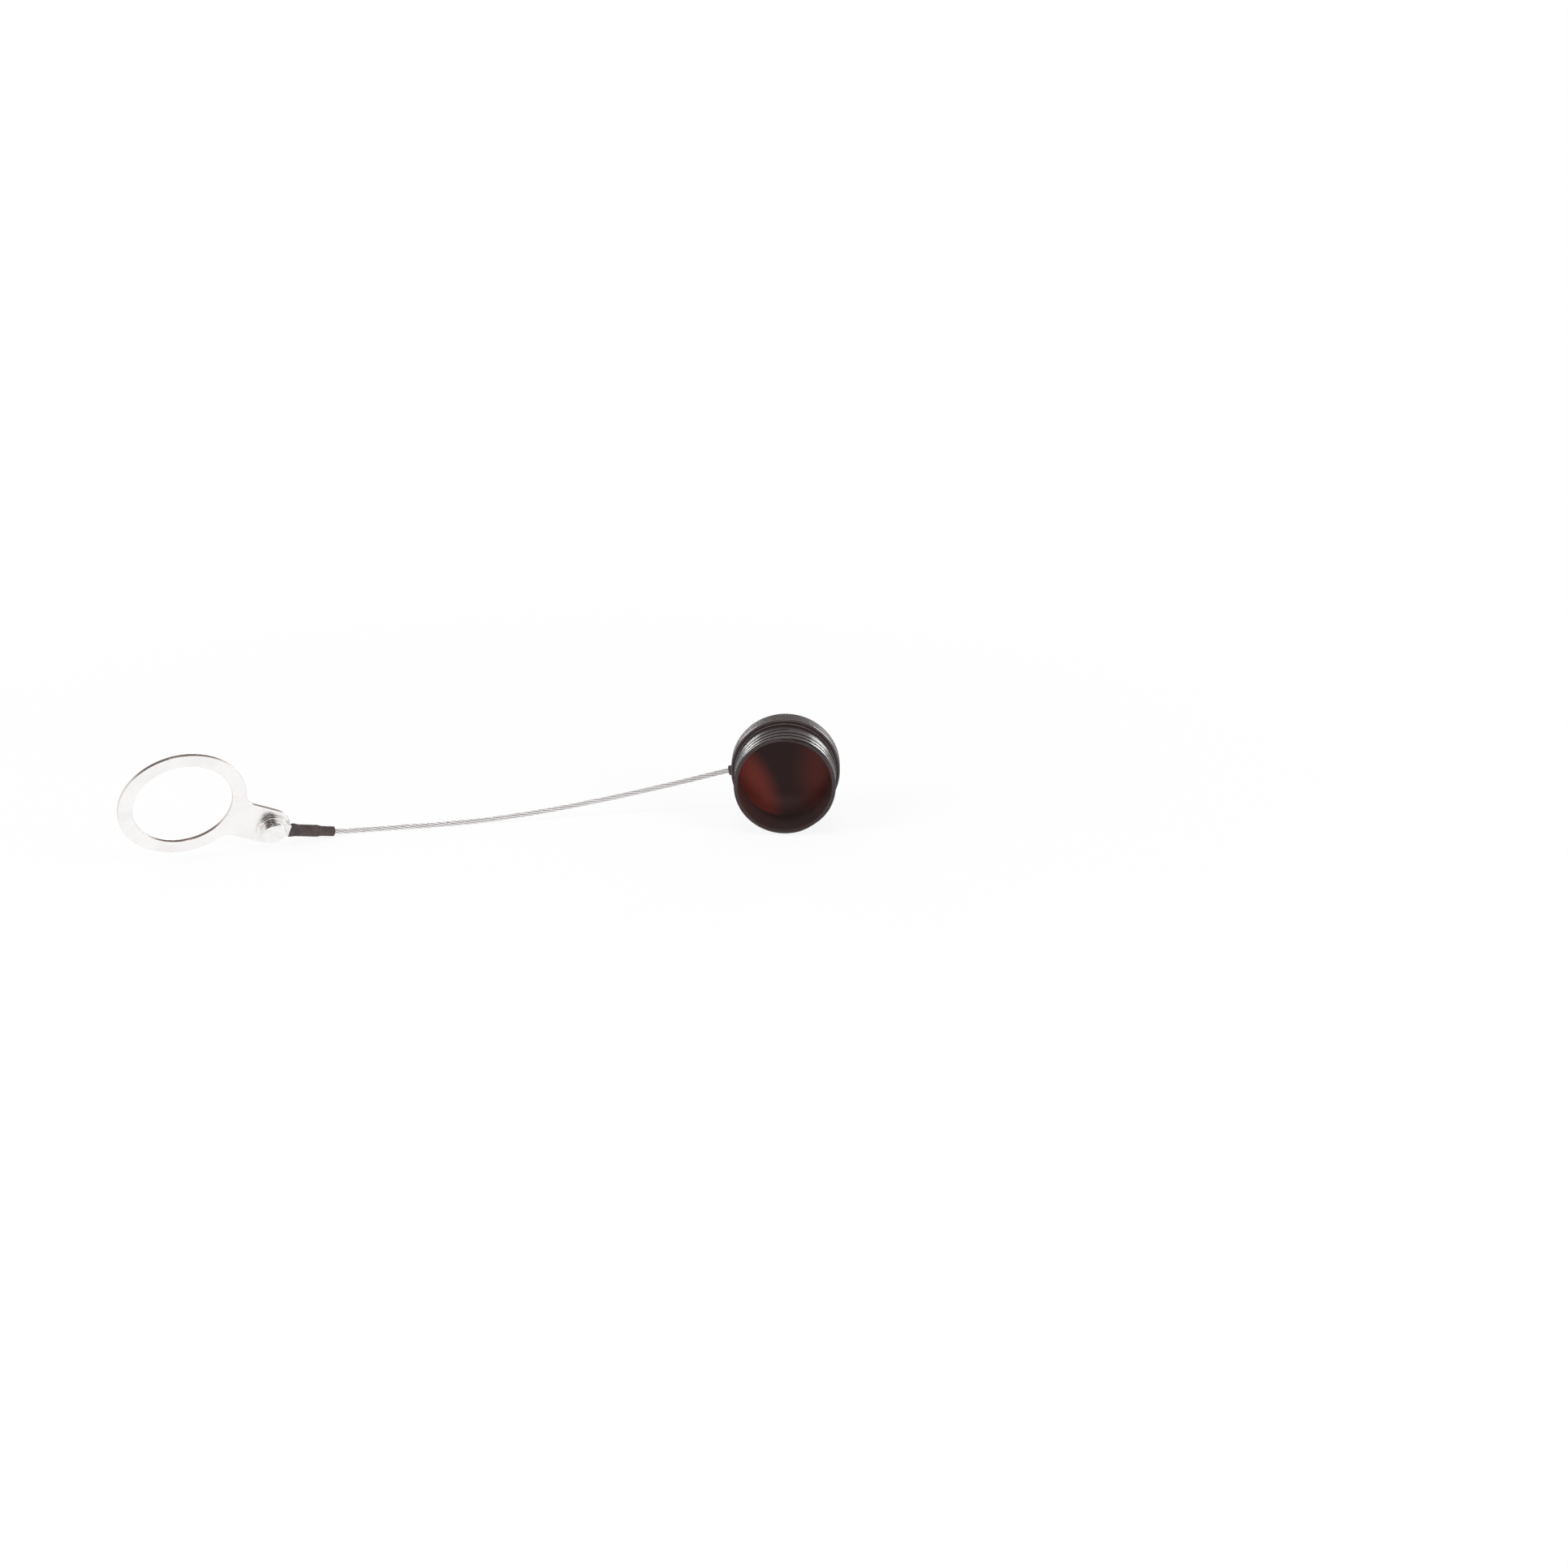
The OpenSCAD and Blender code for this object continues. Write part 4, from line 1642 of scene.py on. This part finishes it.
@dataclass
class Lanyard:
    """The rope with its two terminals and sleeves."""

    cap: Cap
    rivet_at: Point = (-149.20, -9.83, 6.20)
    lug_turn: float = 27.3
    lug_lean: float = 23.6
    lug_roll: float = -28.7
    ring_terminal_turn: float = 14.8
    cap_terminal_turn: float = 189.7
    rope_start: float = 8.2
    cap_sleeve_end: float = 17.6
    ring_sleeve_end: float = 18.7
    rope_z: float = 0.94
    route: Sequence[Point] = (
        (-30.10, 20.69, 10.52),
        (-45.17, 19.28, 7.24),
        (-60.24, 16.96, 4.60),
        (-75.30, 13.92, 2.60),
        (-90.35, 10.69, 1.30),
        (-105.41, 7.48, 0.85),
        (-115.45, 5.37, 0.85),
        (-123.48, 3.36, 0.90),
        (-128.50, 1.66, 1.10),
    )

    @property
    def cap_end(self) -> Matrix:
        """Frame of the terminal at the cap: X along the terminal, Z along its rivet."""
        back = turned("Z", self.cap_terminal_turn) @ turned("X", 180) @ moved(0, 0, self.cap.boss_h)
        return self.cap.place @ back

    @property
    def lug_place(self) -> Matrix:
        """Frame of the lug: X from the middle of the ring to the rivet, Z out of the plate's front."""
        there = moved(*self.cap.shift) @ moved(*self.rivet_at) @ turned("Z", self.lug_turn)
        return there @ turned("X", 90 + self.lug_lean) @ turned("Z", self.lug_roll)

    @property
    def ring_end(self) -> Matrix:
        """Frame of the terminal at the ring."""
        return self.lug_place @ turned("Z", self.ring_terminal_turn)

    def knots(self) -> list[Vector]:
        """Lists the points that the rope passes.

        Returns:
            The points, from the cap's crimp to the ring's crimp.
        """
        shift = Vector(self.cap.shift)
        near = [self.cap_end @ Vector((s, 0, self.rope_z)) for s in (self.rope_start, self.cap_sleeve_end)]
        far = [self.ring_end @ Vector((s, 0, self.rope_z)) for s in (self.ring_sleeve_end, self.rope_start)]
        return near + [shift + Vector(p) for p in self.route] + far

    def build(self) -> None:
        """Builds and dresses the rope, the terminals and the sleeves."""
        WireRope(self.knots()).build()
        Terminal("terminal_at_cap", "cap_terminal", self.cap_end).build()
        Terminal("terminal_at_ring", "ring_terminal", self.ring_end).build()
        Sleeve("sleeve_at_cap", "cap_sleeve", self.cap_end, self.cap_sleeve_end, seed=8.0).build()
        Sleeve("sleeve_at_ring", "ring_sleeve", self.ring_end, self.ring_sleeve_end).build()


# The table, the lamps and the camera


@dataclass
class Lamp:
    """A soft lamp."""

    name: str
    at: Point
    aim: Point
    size: tuple[float, float]
    watts: float
    glossy: bool = True

    def build(self) -> None:
        """Hangs the lamp."""
        data = bpy.data.lights.new(self.name, "AREA")
        data.shape = "RECTANGLE"
        data.size, data.size_y = self.size
        data.energy = self.watts
        made = linked(self.name, data)
        made.location = self.at
        made.rotation_euler = (Vector(self.aim) - Vector(self.at)).to_track_quat("-Z", "Y").to_euler()
        made.visible_camera = False
        made.visible_glossy = self.glossy


@dataclass
class Studio:
    """White table in a white room with a dim ceiling and a dark doorway, five lamps and the camera."""

    camera_at: Point = (0.084239, -0.540899, 0.200835)
    camera_down: float = 18.6
    camera_roll: float = 0.11
    lens: float = 45.13
    sensor: float = 36.0
    clip: tuple[float, float] = (0.01, 50.0)
    floor_size: float = 6.0
    fill: float = 0.55
    white: Point = (1.0, 1.0, 1.0)
    ceiling: Point = (0.24, 0.198, 0.185)
    ceiling_from: float = 0.28
    ceiling_to: float = 0.52
    doorway: Point = (0.17, -0.93, 0.33)
    doorway_from: float = 0.62
    doorway_to: float = 0.80
    beyond: Point = (0.075, 0.058, 0.052)
    lamps: tuple[Lamp, ...] = (
        Lamp("left soft lamp", (-0.85, -0.60, 0.75), (0.0, 0.0, 0.0), (0.6, 0.6), 8.0, False),
        Lamp("right soft lamp", (1.04, -0.70, 0.60), (0.0, 0.0, 0.0), (0.6, 0.6), 8.0, False),
        Lamp("front top lamp", (0.05, -0.36, 0.85), (0.05, 0.0, 0.0), (0.30, 0.16), 0.9),
        Lamp("left strip", (-0.24, 0.74, 0.12), (0.084, 0.0, 0.016), (0.13, 0.24), 0.7),
        Lamp("right strip", (0.41, 0.74, 0.12), (0.084, 0.0, 0.016), (0.13, 0.24), 0.7),
    )

    def camera(self) -> None:
        """Sets up the camera."""
        data = bpy.data.cameras.new("camera")
        data.lens = self.lens
        data.sensor_width = self.sensor
        data.clip_start, data.clip_end = self.clip
        made = linked("camera", data)
        made.location = self.camera_at
        tilt = Matrix.Rotation(math.radians(90 - self.camera_down), 3, "X")
        roll = Matrix.Rotation(math.radians(self.camera_roll), 3, "Z")
        made.rotation_euler = (tilt @ roll).to_euler()
        bpy.context.scene.camera = made

    def table(self) -> None:
        """Lays the table."""
        half = self.floor_size / 2
        mesh = bpy.data.meshes.new("table")
        corners = [(-half, -half, 0), (half, -half, 0), (half, half, 0), (-half, half, 0)]
        mesh.from_pydata(corners, [], [(0, 1, 2, 3)])
        mesh.materials.append(PaleFloor().material())
        linked("table", mesh)

    def room(self) -> None:
        """Colours the room: white at the height of the table, dim overhead, dark past the doorway."""
        world = bpy.data.worlds.new("room")
        bpy.context.scene.world = world
        world.use_nodes = True
        world.node_tree.nodes.clear()
        graph = ShaderGraph(world.node_tree)
        way = Arrow(graph, graph.node("ShaderNodeTexCoord").outputs["Generated"]).parts()
        dim = graph.step(way[2], self.ceiling_from, self.ceiling_to)
        ahead = way[0] * self.doorway[0] + way[1] * self.doorway[1] + way[2] * self.doorway[2]
        past = graph.step(ahead, self.doorway_from, self.doorway_to)
        seen = graph.blend(past, graph.blend(dim, self.white, self.ceiling), self.beyond)
        lit = graph.blend(graph.rays("Glossy", "Transmission"), (self.fill,) * 3, seen)
        shown = graph.blend(graph.rays("Camera"), lit, self.white)
        glow = graph.node("ShaderNodeBackground", {"Color": shown, "Strength": 1.0})
        graph.node("ShaderNodeOutputWorld", {"Surface": glow.outputs[0]})

    def build(self) -> None:
        """Sets up the camera, the table, the room and the lamps."""
        bpy.context.scene.view_settings.view_transform = "Standard"
        self.camera()
        self.table()
        self.room()
        for lamp in self.lamps:
            lamp.build()


def main() -> None:
    """Builds the pieces in order."""
    logging.basicConfig(level=logging.INFO, format="%(message)s")
    for left in [o for o in bpy.context.scene.objects if o.name in {"Cube", "Light", "Camera"}]:
        bpy.data.objects.remove(left)
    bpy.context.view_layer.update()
    Studio().build()
    cap = Cap()
    lanyard = Lanyard(cap)
    lanyard.build()
    cap.build()
    Rivet("rivet_in_cap", "cap_rivet", Body.CAP, lanyard.cap_end, 4.0).build()
    Rivet("rivet_in_ring", "ring_rivet", Body.RING, lanyard.lug_place, 1.0, 2.8).build()
    RingLug(lanyard.lug_place).build()
    bpy.context.view_layer.update()


if __name__ == "__main__":
    main()
